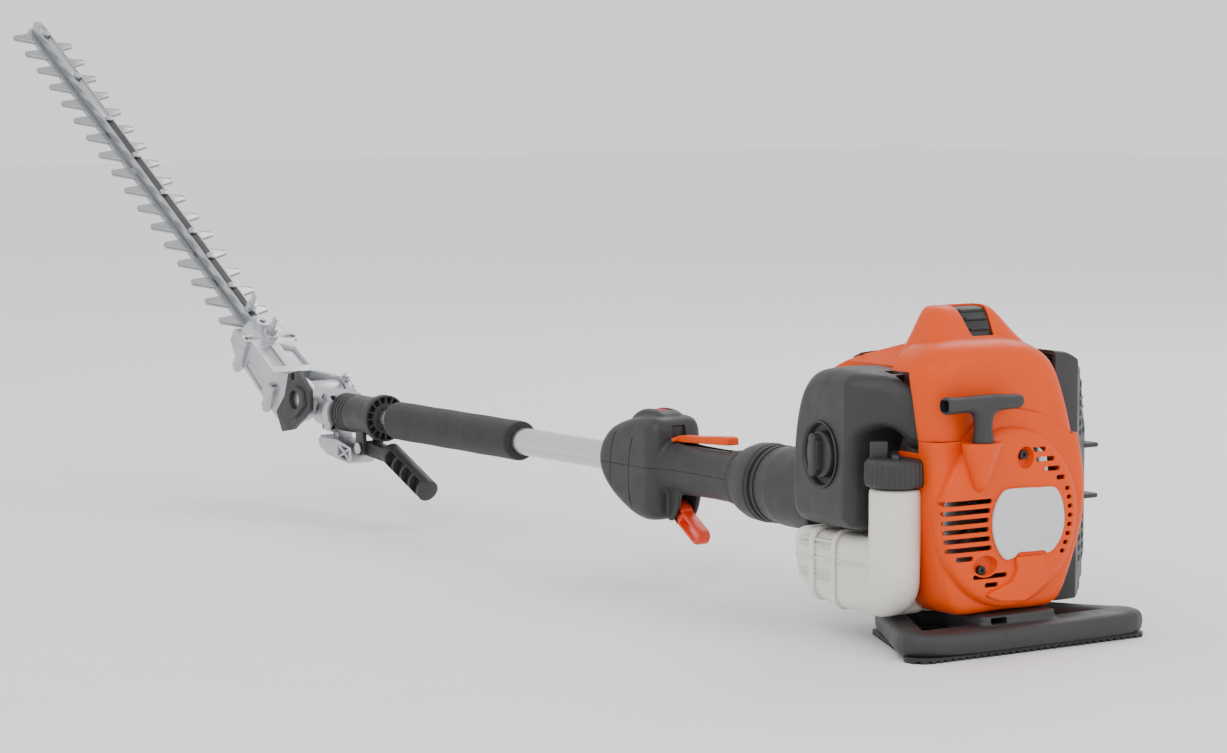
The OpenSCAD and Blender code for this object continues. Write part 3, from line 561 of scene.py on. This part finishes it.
def curve_sharp(points, r, n=4):
    """A polygon with its corners rounded by r."""
    p = np.asarray(points, float)
    out = []
    for i in range(len(p)):
        a, b, c = p[i - 1], p[i], p[(i + 1) % len(p)]
        u, w = (a - b) / np.linalg.norm(a - b), (c - b) / np.linalg.norm(c - b)
        half = math.acos(max(-1, min(1, float(u @ w)))) / 2
        reach = min(r / math.tan(half), 0.45 * np.linalg.norm(a - b), 0.45 * np.linalg.norm(c - b))
        for t in np.linspace(0, 1, n + 1):
            out.append((1 - t) ** 2 * (b + u * reach) + 2 * t * (1 - t) * b + t**2 * (b + w * reach))
    return np.array(out)


def hump_vent():
    slope = [(53, 265), (59, 278), (65.5, 287), (71, 291.2), (82.5, 292.2)]
    rings = []
    for x, z in slope:
        k = min(1, (x - 51.5) / 20.5)
        y0, y1 = -5 - 4.5 * k, 18.5 + 6 * k
        rings.append(np.array([(x, y0, z - 2.6), (x, y1, z - 2.6), (x, y1, z), (x, y0, z)]))
    plate = loft("plate", rings)
    ribs = []
    for x, z, k in ((57, 274, 0.2), (62, 282.6, 0.35), (68, 289.2, 0.5)):
        ribs.append(pad("rib", rounded((-2 - 8 * k, z - 1.5), (16 + 8 * k, z + 1.3), 1), "x", x - 1.6,
                        x + 1.6, 0.8))
    finish_piece(soften(join("hump_vent_piece", plate, *ribs), 0.3), "hump_vent")


def slot_cutter(y0, y1, z, h=4.4, x1=34):
    return pad("slot", rounded((y0, z - h / 2), (y1, z + h / 2), h * 0.42, 3), "x", -12, x1)


def starter_housing():
    steps = [(60, 0), (40, 0), (24, 0), (18, 0.8), (14.5, 2.6), (12.2, 5.5), (11.2, 9), (11, 13)]
    shell = loft("housing", [body_ring(x, d) for x, d in steps])
    cut(shell, loft("inside", [body_ring(x + COVER_WALL, d + COVER_WALL) for x, d in steps]))
    cut(shell, split_block("above"))
    cut(shell, pad("corner", rounded((66, 173.5), (130, 230), 2), "x", 33, 80))
    cut(shell, pad("opening", circle(*DISC, 69, 96), "x", 4, 18))
    profile = [(15, 77.6), (10, 77.2), (6.2, 76.2), (3.8, 73.8), (2.6, 70), (2.1, 63), (1.9, 40), (1.9, 6)]
    disc = revolve("disc", wall(profile, 2.4), (0, *DISC), (1, 0, 0), 128, closed=True)
    rows = [(132.5 - 8 * i, 37.5 + 1.6 * (2.5 - abs(i - 2.5)),
             90.5 - 0.35 * (i - 1.6) ** 2) for i in range(6)] + [(84.6, 58, 77)]
    low_rows = [(68, 20, 58), (60.4, 30, 45), (173, -23, -6), (164.3, -33, -11.5), (155.6, -39, -21.5),
                (147.4, -45, -35)]
    column, rim = [], 65.5   # the small slots and the radius that they sit at
    for a in range(-19, 32, 7):
        t = math.radians(a)
        y, z = DISC[0] - rim * math.cos(t), DISC[1] - rim * math.sin(t)
        column.append(slot_cutter(y - 3, y + 3, z, 3.8))
    for body in (shell, disc):
        slots = [slot_cutter(y0, y1, z, x1=12.9) for z, y0, y1 in rows]
        slots += [slot_cutter(y0, y1, z, 4.2) for z, y0, y1 in low_rows]
        cut(body, *slots)
        recesses = [circle(y, z, ry - 0.5, 32, rz - 0.5) for y, z, ry, rz in WELLS]
        cut(body, *[pad("recess", outline, "x", -10, 12) for outline in recesses])
    cut(disc, *column)
    wells = [cup("well", circle(y, z, ry, 40, rz)) for y, z, ry, rz in WELLS]
    spout = rope_spout()
    tab_edge = [(12.6, 82.6), (10.6, 71), (16, 62), (47, 52), (30, 46), (2, 44), (-24, 58), (-22.5, 74),
                (-18.6, 82.2)]
    tab = pad("tab", curve_sharp(tab_edge, 2.5), "x", -1.6, 4, 1.3)
    piece = join("starter_housing_piece", shell, disc, spout, tab, *wells)
    soften(piece, 0.45, 40)
    finish_piece(piece, "starter_housing")


def cup(name, outline):
    """A shallow dished well, open towards the rear."""
    rings = [lift(inset(outline, d), "x", x) for x, d in ((1.6, 0), (6, 0.6), (9, 2))]
    return solidify(loft(name, rings, (False, True)), -1.2)


def rope_spout():
    y = span("starter_rope")[0][1] + 1.8
    rows = [(183.6, -2, 12.6, 19), (181.5, -2, 13.6, 20), (176, -1.5, 12.6, 18), (166, -0.5, 10.6, 14),
            (156, 0, 8.6, 10), (148, 0.5, 7, 7), (144.5, 1.5, 5.6, 5), (141, 4, 3, 2.5)]
    rings = [lift(circle(x, y, rx, 48, ry), "z", z) for z, x, rx, ry in rows]
    spout = loft("spout", rings)
    return cut(spout, pad("rope_hole", circle(-3, y, 9.5), "z", 178, 190))


def badge():
    outline = [(38.5, 111), (37.5, 122), (33, 133), (25.5, 140.6), (12, 141.6), (-14, 140.6), (-31, 139.4),
               (-38, 131), (-41.4, 120), (-42, 107), (-38, 95), (-30, 86), (-23, 83.2), (-20, 85.6),
               (-6, 86), (10, 86), (14, 82.5), (24, 81.4), (32, 90), (36.5, 100)]
    plate = pad("badge_piece", curve_through(outline, 120, sharp=0.42), "x", -0.9, 1.9, 0.7)
    finish_piece(soften(plate, 0), "badge")


GRIP_BAR_RADIUS = 7.5


def starter_grip():
    lo, hi = span("starter_grip")
    y_mid = (lo[1] + hi[1]) / 2
    z_bar = hi[2] - GRIP_BAR_RADIUS
    x = (lo[0] + hi[0]) / 2
    ends = [(lo[1], 3), (lo[1] + 1.2, 5), (lo[1] + 4, 6.2), (y_mid - 12, 7.4), (y_mid + 8, 7.4),
            (hi[1] - 20, 7), (hi[1] - 3, 7.6), (hi[1] - 0.8, 7.4), (hi[1], 6.8)]
    bar = revolve("bar", ends, (x, 0, z_bar), (0, 1, 0), 48)
    rows = ((lo[2], 8, 9), (lo[2] + 1.2, 8.6, 10), (lo[2] + 5, 8, 9.8), (lo[2] + 12, 7, 8.8),
            (z_bar - 15, 6.8, 9), (z_bar - 10, 6.8, 11), (z_bar - 6.5, 6.8, 17), (z_bar - 3, 6.8, 27),
            (z_bar, 6.6, 33))
    stem = loft("stem", [lift(circle(x, y_mid, rx, 48, ry), "z", z) for z, rx, ry in rows])
    grip = melt(join("starter_grip_piece", bar, stem), 0.9, 5)
    cut(grip, pad("hollow", rounded((x - 5.6, z_bar - 5.2), (x + 5.6, z_bar + 5.2), 3, 6), "y", hi[1] - 24,
                  hi[1] + 3))
    finish_piece(soften(grip, 0, 50), "starter_grip")


# ---------------------------------------------------------------- filter side

# x and z of the filter cover's outline, then how far out its face lies at each x
COVER_EDGE = [(88, 104), (100, 101.5), (130, 101), (168, 101), (182, 104), (188.5, 115), (189.5, 136),
              (188.5, 166), (184.5, 192), (175, 218), (157, 235), (130, 240.5), (100, 240.5), (74, 238),
              (56, 232), (46, 220), (40, 203), (36, 186), (36.5, 177), (45, 175), (54, 175.5), (57, 183),
              (63, 190), (75, 189.5), (83.5, 183), (87, 168), (87, 140), (87, 112)]
FACE_DEPTH = ([34, 44, 90, 96, 180, 190], [80, 87, 121.5, 124, 113, 103])
FILTER_WALL = 2.6


def knob_line():
    """Centre and direction of the filter knob's turn."""
    return joint_at("filter_knob_turn"), np.array(JOINT["filter_knob_turn"]["axis"])


def filter_cover():
    base_y, face_y = 68, 124
    edge = curve_through(COVER_EDGE, 150)

    def skin(t):
        rings = []
        for y, d in ((base_y, 0), (84, 0), (100, 0.2), (110, 1.2), (116, 3.2), (120, 6.2), (122.8, 9.5),
                     (123.8, 11.5)):
            rings.append(lift(inset(edge, min(d + t, 12)), "y", y - t))
        return loft("filter_cover_piece", rings)
    cover = melt(cut(skin(0), skin(FILTER_WALL)), 1.4, 2)
    for v in cover.data.vertices:
        depth = float(np.interp(v.co.x / MM, *FACE_DEPTH))
        v.co.y = base_y * MM + (v.co.y - base_y * MM) * (depth - base_y) / (face_y - base_y)
    modify(cover, "SMOOTH", factor=0.5, iterations=3)
    knob, axis = knob_line()
    cut(cover, revolve("recess", [(-30, 27.5), (12, 27.5)], knob, axis, 72))
    dish = revolve("dish", wall([(1.5, 29.6), (0.6, 28.4), (-1.5, 27.6), (-5.4, 27), (-6.4, 24), (-6.6, 5)],
                                1.4), knob, axis, 72, closed=True)
    slots = [pad("top_slot", rounded((58 + 15 * k, 78), (70 + 15 * k, 90), 2), "z", 215,
                 250) for k in range(2)]
    cut(cover, *slots)
    piece = join("filter_cover_piece", cover, dish)
    finish_piece(soften(piece, 0.6, 40), "filter_cover")


def filter_knob():
    knob, axis = knob_line()
    body = revolve("knob", [(-5.3, 18), (-4.5, 20), (-1, 20.6), (1.6, 20.2), (3, 18.8), (3.4, 16),
                            (3.5, 4)], knob, axis, 72,
                   wobble=lambda a, t: -0.35 * (np.cos(a * 18) > 0.4) * (t < 2))
    turn = Matrix.Rotation(math.atan2(-axis[0], axis[1]), 4, "Z")
    grip = pad("grip", rounded((-5.2, -18.6), (5.2, 18.6), 4.6, 6), "y", 1, 10.5, 2.4)
    slit = pad("slit", rounded((-7.6, -13), (-6.2, 13), 0.6, 3), "y", 1.5, 9)
    grip.data.transform(Matrix.Translation(Vector(knob * MM)) @ turn)
    slit.data.transform(Matrix.Translation(Vector(knob * MM)) @ turn)
    piece = join("filter_knob_piece", body, grip, slit)
    finish_piece(soften(piece, 0.3), "filter_knob")


# ---------------------------------------------------------------- tank

def fuel_tank():
    right_side = span("fuel_tank")[0][1]
    cap = joint_at("cap_turn")
    side = [(61, 29.5), (136, 29.5), (172, 38), (190, 57), (195, 96), (61, 96)]
    main = pad("main", curve_sharp(side, 12, 6), "y", 52, 107.5, 13, 6)
    right = pad("right", rounded((61, 30), (180, 59), 11, 8), "y", right_side, 60, 10, 6)
    neck_line = [(cap[0], cap[1], 143), (cap[0], cap[1], 105), (cap[0] + 2, cap[1] - 1, 76),
                 (cap[0] + 12, cap[1] - 8, 56), (cap[0] + 40, cap[1] - 18, 48)]
    neck = sweep("neck", curve_through(neck_line, 24, closed=False), circle(0, 0, 22.2, 48), (0, 1, 0))
    tank = melt(join("tank", main, right, neck), 1.7, 12)
    beads = []
    for x, swell, low in ((128, 2.4, 30.6), (158, 3, 35.6)):
        loop = rounded((64, low), (109, 96.4), 12, 8)
        beads.append(sweep("bead", lift(loop, "x", x), circle(0, 0, swell, 10), (1, 0, 0), closed=True))
    for x0, x1 in ((130, 156), (160, 179)):
        for z in (55, 60, 83, 88):
            beads.append(pad("rung", rounded((x0, z - 1.2), (x1, z + 1.2), 1.1, 3), "y", 104, 108.9, 1))
    seam_line = [(191, 60, 72), (191.5, 92, 72), (182, 108, 72), (130, 108.6, 72), (80, 108.4, 72)]
    seam = sweep("seam", curve_through(seam_line, 40, closed=False), circle(0, 0, 0.9, 6))
    piece = join("fuel_tank_piece", tank, seam, *beads)
    finish_piece(soften(piece, 0, 60), "fuel_tank")


CAP_TURN = -38   # degrees that the cap's tab stands turned


def tank_cap():
    top = span("tank_cap")[1][2]
    cx, cy = joint_at("cap_turn")[:2]
    ribs, rib_height = 36, 0.9

    def knurl(a, t):
        return rib_height * (np.cos(a * ribs) > 0.1) * (148 < t < 166)
    body = revolve("cap", [(145.4, 22), (145.4, 25.2), (147.6, 25.6), (148.4, 25.6), (165, 25.4),
                           (166.5, 25), (168.4, 23.6), (169.4, 21), (169.6, 8), (169.6, 2)], (cx, cy, 0),
                   (0, 0, 1), 288, wobble=knurl)
    plug = revolve("plug", [(137, 18), (138, 18.8), (145.6, 18.8)], (cx, cy, 0), (0, 0, 1), 64)
    tab = pad("tab", rounded((-3.6, 6), (4.4, 21.5), 1.8, 4), "z", 168, top, 1.6)
    arm = pad("arm", rounded((-19, -3.4), (19, 3.4), 3, 4), "z", 168, 173.5, 1.8)
    place = Matrix.Translation((cx * MM, cy * MM, 0)) @ Matrix.Rotation(math.radians(CAP_TURN), 4, "Z")
    tab.data.transform(place)
    arm.data.transform(place)
    finish_piece(soften(join("tank_cap_piece", body, plug, tab, arm), 0.25, 35), "tank_cap")


# ---------------------------------------------------------------- foot and guard

RAIL_STEPS = 110
RAIL_HALF_HEIGHT = 11.4


def foot():
    bar = curve_through([(118, -52, 15), (70, -84, 14.5), (30, -112, 14), (12, -126, 14), (8, -118, 14),
                         (8, -90, 14), (9, -20, 14), (9, 50, 14), (10, 96, 14), (19, 108, 14),
                         (50, 92, 14.5), (95, 66, 15), (130, 46, 15)], RAIL_STEPS, closed=False)
    wide = np.interp(np.linspace(0, 1, RAIL_STEPS), [0, 0.18, 0.33, 0.42, 0.62, 0.72, 1],
                     [12, 12.5, 18, 19.5, 19.5, 14, 12])
    section = squircle(28, 0.62, 0.72)
    rail = sweep("rail", bar, section, scale=[(w, RAIL_HALF_HEIGHT) for w in wide])
    cross = sweep("cross", curve_through([(120, -50, 14), (127, 0, 14), (133, 44, 15)], 30, closed=False),
                  section, scale=[(11.5, 9.6)] * 30)
    plinth = pad("plinth", rounded((2, -37), (52, 46), 5), "z", 12, 33.3, 1.5)
    frame_piece = melt(join("foot_frame_piece", rail, cross, plinth), 1.5, 8)
    cut(frame_piece, pad("slot", rounded((20, 26), (38, 31.5), 1.2, 3), "x", -12, 30))
    finish_piece(soften(frame_piece, 0, 45), "foot_frame")
    refine("foot_tread", 0.3)


# y and z of the muffler guard's outline, from behind
GUARD_EDGE = [(-86, 250), (-104, 247), (-122, 236), (-138, 216), (-148, 196), (-155, 172), (-158.5, 146),
              (-159.5, 118), (-157, 84), (-152, 56), (-142, 38), (-126, 29), (-108, 27), (-88, 27)]

GUARD_WALL = 3


def muffler_guard():
    outer = curve_through(GUARD_EDGE, 70, closed=False)
    centre = np.array([-88, 138])

    def ring(x, d, t=0.0):
        moved = outer + (centre - outer) / np.linalg.norm(centre - outer, axis=1)[:, None] * (d + t)
        moved[:, 0] = np.maximum(moved[:, 0], min(-100, -112 - 1.2 * (x - 62)) + 1.4 * t)
        back = np.array([(-88.0 + 3 * t, 30.0 + d * 0.5), (-88.0 + 3 * t, 247.0 - d * 0.5)])
        return lift(np.concatenate([moved, back]), "x", x)
    steps = ((64, 1.2), (66, 0), (74, 0), (82, 0), (90, 0), (97, 0), (103, 0), (112, 0), (150, 0), (160, 2),
             (169, 7), (175, 15))
    inner_steps = ((67.5, 1.2),) + steps[2:-2] + ((167, 7), (171.5, 15))
    guard = loft("guard", [ring(x, d) for x, d in steps])
    cut(guard, loft("inside", [ring(x, d, GUARD_WALL) for x, d in inner_steps]))
    windows = []
    for rows, low, high, pitch, inner in ((6, 171, 176.6, 8.6, -104), (5, 58, 63.6, 9, -120)):
        for row in range(rows):
            for col in range(7):
                window = rounded((73 + 12.4 * col, low + pitch * row),
                                 (81 + 12.4 * col, high + pitch * row), 1, 2)
                windows.append(pad("w", window, "y", -176, inner))
    for row in range(9):
        windows.append(pad("w", rounded((-140 + abs(row - 4) * 2, 62 + row * 17), (-100, 68 + row * 17), 2,
                                        3), "x", 166, 180))
    boolean(guard, "DIFFERENCE", join("windows", *windows))
    fins = [pad("fin", rounded((97, -172.6), (132, -152), 4, 4), "z", z, z + 4, 1.2) for z in (156, 110)]
    piece = join("muffler_guard_piece", guard, *fins)
    finish_piece(soften(piece, 0.5, 42), "muffler_guard")


# ---------------------------------------------------------------- rear handle

# x and z of the throttle housing's outline
THROTTLE_EDGE = [(507, 62), (520, 57), (540, 58), (562, 66), (582, 77), (598, 91), (605, 104), (605.5, 116),
                 (600, 130), (588, 142), (570, 150), (548, 155.5), (528, 158), (512, 156), (506, 146),
                 (505, 110), (505, 80)]


def handle_shape():
    housing = pad("housing", curve_through(THROTTLE_EDGE, 96), "y", -31.5, 31.5, 15, 7)
    rows = [(397, 21, 25.5), (399, 22.6, 26.8), (404, 22.4, 26.4), (412, 20.6, 25), (440, 19.4, 24.4),
            (470, 19.6, 24.8), (492, 20.5, 25.6), (506, 24, 28), (520, 27, 34)]
    section = squircle(64, 0.85, 0.85)
    rings = [lift(section * (ry, rz) + (0, POLE_Z), "x", x) for x, ry, rz in rows]
    grip = loft("grip", rings)
    brow = pad("brow", curve_through([(514, 150), (520, 161), (548, 163), (566, 154), (560, 146)], 40), "y",
               -16, 16, 6)
    guard_edge = curve_through([(488, 90), (508, 90), (509, 62), (500, 58), (490, 72)], 30)
    guards = [pad("guard", guard_edge, "y", y, y + 5, 1.5) for y in (-14, 9)]
    shape = melt(join("handle", housing, grip, brow, *guards), 1.25, 7)
    tube_lo, tube_hi = span("main_tube")
    tube_r = (tube_hi[2] - tube_lo[2]) / 2
    trigger, lockout = joint_at("throttle"), joint_at("lockout_press")
    cutters = [revolve("bore", [(380, tube_r + 0.1), (620, tube_r + 0.1)], (0, 0, POLE_Z), (1, 0, 0), 64),
               pad("trigger_slot", rounded((495, 46), (531, 94), 3), "y", -8, 8),
               pad("lockout_slot", rounded((414, 130.6), (509, 150), 2), "y", -8, 8),
               pad("switch_slot", rounded((527, 152), (556, 170), 1.5), "y", -7.2, 7.2)]
    cut(shape, *cutters)
    seams = []
    for x, bow in ((543, 0.0), (574, 10.0)):
        for s in (-1, 1):
            line = [(x - 2, s * 30.6, 66 + bow), (x + 3, s * 31.5, 88), (x + 2, s * 31.6, 118),
                    (x - 4, s * 30.5, 138), (x - 14, s * 24, 150 - bow * 0.4)]
            path = curve_through(line, 30, closed=False)
            seams.append(sweep("seam", path, circle(0, 0, 0.9, 8), (0, 1, 0)))
    cut(shape, *seams)
    return shape


def handle():
    shape = handle_shape()
    lower = shape.copy()
    lower.data = shape.data.copy()
    bpy.context.scene.collection.objects.link(lower)
    cut(shape, pad("under", rounded((380, -60), (620, 60), 2), "z", 20, POLE_Z + 0.2))
    cut(lower, pad("over", rounded((380, -60), (620, 60), 2), "z", POLE_Z - 0.2, 200))
    for half, node in ((shape, "handle_upper"), (lower, "handle_lower")):
        half.name = node + "_piece"
        finish_piece(soften(half, 0, 50), node)


def controls():
    pin = joint_at("throttle")
    tip = np.array([470.5, 45.6])
    root = np.array([pin[0], pin[2]])
    along = (tip - root) / np.linalg.norm(tip - root)
    across = np.array([-along[1], along[0]])

    def oval(start, end, r, n=14):
        out = []
        for centre, a0 in ((end, -90), (start, 90)):
            for k in range(n + 1):
                t = math.radians(a0 + 180 * k / n)
                out.append(centre + along * r * math.cos(t) + across * r * math.sin(t))
        return np.array(out)
    outer = pad("outer", oval(root + along * 14, tip, 8), "y", -7, 7, 2.2)
    blade = cut(outer, pad("inner", oval(root + along * 22, tip - along * 0.5, 4.3), "y", -9, 9))
    hub_edge = [root + (-8, 6), root + (8, 8), root + (9, -6), root + (-4, -11),
                root + along * 22 + across * 7.5, root + along * 22 - across * 7.5]
    hub = pad("hub", curve_through(hub_edge, 40), "y", -7, 7, 1.6)
    axle = revolve("axle", [(-12, 2.6), (-11.5, 3), (11.5, 3), (12, 2.6)], pin, (0, 1, 0), 32)
    finish_piece(soften(join("throttle_trigger_piece", blade, hub, axle), 0.4, 40), "throttle_trigger")
    pin = joint_at("lockout_press")
    lever_edge = [(497, 134.8), (503, 136), (503.5, 139.8), (497, 141), (470, 142.4), (426, 146.2),
                  (419, 145.6), (418, 138.4)]
    lever = pad("lever", curve_sharp(lever_edge, 1.4), "y", -7, 7, 1.2)
    axle = revolve("axle", [(-12, 2), (12, 2)], pin, (0, 1, 0), 32)
    finish_piece(soften(join("lockout_lever_piece", lever, axle), 0.2, 40), "lockout_lever")
    refine("stop_switch", 0.5)


TUBE_WALL = 1.6


def pole():
    lo, hi = span("main_tube")
    r = (hi[2] - lo[2]) / 2
    tube = revolve("main_tube_piece", [(lo[0], r), (hi[0], r), (hi[0], r - TUBE_WALL),
                                       (lo[0], r - TUBE_WALL)], (0, 0, lo[2] + r), (1, 0, 0), 96,
                   closed=True)
    finish_piece(soften(tube, 0, 30), "main_tube")
    lo, hi = span("foam_grip")
    mid, rf, ribs = (lo[2] + hi[2]) / 2, (hi[2] - lo[2]) / 2, 60
    steps = [(lo[0], r + 0.2), (lo[0], rf - 2.2), (lo[0] + 0.7, rf - 0.8), (lo[0] + 2.4, rf)]
    steps += [(x, rf) for x in np.linspace(lo[0] + 6, hi[0] - 6, 40)]
    steps += [(hi[0] - 2.4, rf), (hi[0] - 0.7, rf - 0.8), (hi[0], rf - 2.2), (hi[0], r + 0.2)]

    def ribbed(a, t):
        inside = lo[0] + 4 < t < hi[0] - 4
        return -0.32 * (1 - np.abs(np.cos(a * ribs / 2))) * inside + 0.16 * math.sin(t * 0.09) * inside
    foam = revolve("foam_grip_piece", steps, (0, 0, mid), (1, 0, 0), 300, closed=True, wobble=ribbed)
    finish_piece(soften(foam, 0, 60), "foam_grip")


def couplings():
    boot = [(354.3, 15), (354.3, 36.2), (355.2, 37.4), (358, 37.6), (372, 36.6), (382, 33.5), (390, 29),
            (394, 26.8), (396, 26), (396.6, 24), (396.6, 15)]
    ring = [(340, 16), (340, 36), (340.6, 36.8), (344.4, 36.8), (345, 36), (345.6, 34.2), (348.4, 34.2),
            (349, 36), (349.6, 36.8), (353.4, 36.8), (354, 36), (354, 16)]
    shell = [(196, 51), (196, 55), (199, 56), (206, 54.5), (222, 48), (240, 41.5), (252, 38.8), (270, 38.2),
             (322, 37.6), (326, 37.2), (327.5, 36.2), (339.6, 36), (339.6, 18), (330, 18), (330, 34),
             (246, 35), (200, 50)]
    for node, profile, closed, width in (("coupling_boot", boot, False, 0.3),
                                         ("damper_ring", ring, False, 0), ("clutch_housing", shell, True,
            0.3)):
        turned = revolve(node + "_piece", profile, (0, 0, POLE_Z), (1, 0, 0), 96, closed=closed)
        finish_piece(soften(turned, width), node)


def starter_rope():
    """The rope, from its guide up to the foot of the grip."""
    lo, hi = span("starter_rope")
    x, y = (lo[0] + hi[0]) / 2, (lo[1] + hi[1]) / 2
    grip_foot = span("starter_grip")[0][2]
    steps = [(z, 1.75) for z in np.linspace(lo[2], grip_foot + 1.5, 40)]
    rope = revolve("starter_rope_piece", steps, (x, y, 0), (0, 0, 1), 16,
                   wobble=lambda a, t: 0.12 * np.cos(4 * a + t * 1.7))
    shade(rope, 60)
    rope.data.materials.append(FINISH["rope_fibre"])
    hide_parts("starter_rope")
    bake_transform(rope)


HEAD_TILT = math.radians(31.45)
HEAD_BAR_TOP = -9   # top of the guide bar's channel, from the pivot, square to the head


def painted_channel_shade():
    """A black strip in the rear part of the guide bar's channel. It is painted shade where the channel lies in
    shadow, not a part of its own.
    """
    x0, x1, half, top = 175, 595, 4.7, HEAD_BAR_TOP
    strip = pad("painted_channel_shade_piece", rounded((x0, -half), (x1, half), 0.6, 2), "z", top - 1.3, top - 0.1,
                0.2)
    tilt = Matrix.Rotation(-HEAD_TILT, 4, "Y")
    strip.data.transform(Matrix.Translation(Vector(joint_at("head_tilt") * MM)) @ tilt)
    shade(strip)
    # black finish as painted shade inside the channel
    strip.data.materials.append(FINISH["black_plastic"])
    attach(strip, BODY["guide_bar"])


# ---------------------------------------------------------------- everything

add_camera()
FINISH = build_finishes()
add_studio()
top_cover()
cover_trim()
hump_vent()
starter_housing()
badge()
starter_grip()
starter_rope()
filter_cover()
filter_knob()
fuel_tank()
tank_cap()
foot()
muffler_guard()
handle()
controls()
pole()
couplings()
# painted shade: a black strip in the guide bar's channel
painted_channel_shade()

EASED = {"collar_sleeve": 0.5, "lock_lever": 0.9, "neck_housing": 1.0, "skid_arm": 0.9,
         "gear_case_lower": 1.2, "gear_case_upper": 0.9, "pivot_cover": 1.2, "case_screws": 0.4,
         "guide_bar": 0.5, "upper_blade": 0.5, "lower_blade": 0.5, "front_shroud": 0.8,
         "housing_screws": 0.3, "primer_bulb": 0.4, "choke_lever": 0.4, "carburettor": 0.6,
         "filter_base": 0.5, "air_filter": 0.6, "muffler": 1.2, "cylinder": 0.3, "crankcase": 1.0,
         "flywheel": 0.5, "lever_pin": 0.4, "plug_boot": 0.6, }
for node_name, ease in EASED.items():
    refine(node_name, ease)
for node_name, cad in frame["nodes"].items():
    cad.data.materials.clear()
    cad.data.materials.append(FINISH[SLOT[node_name]])
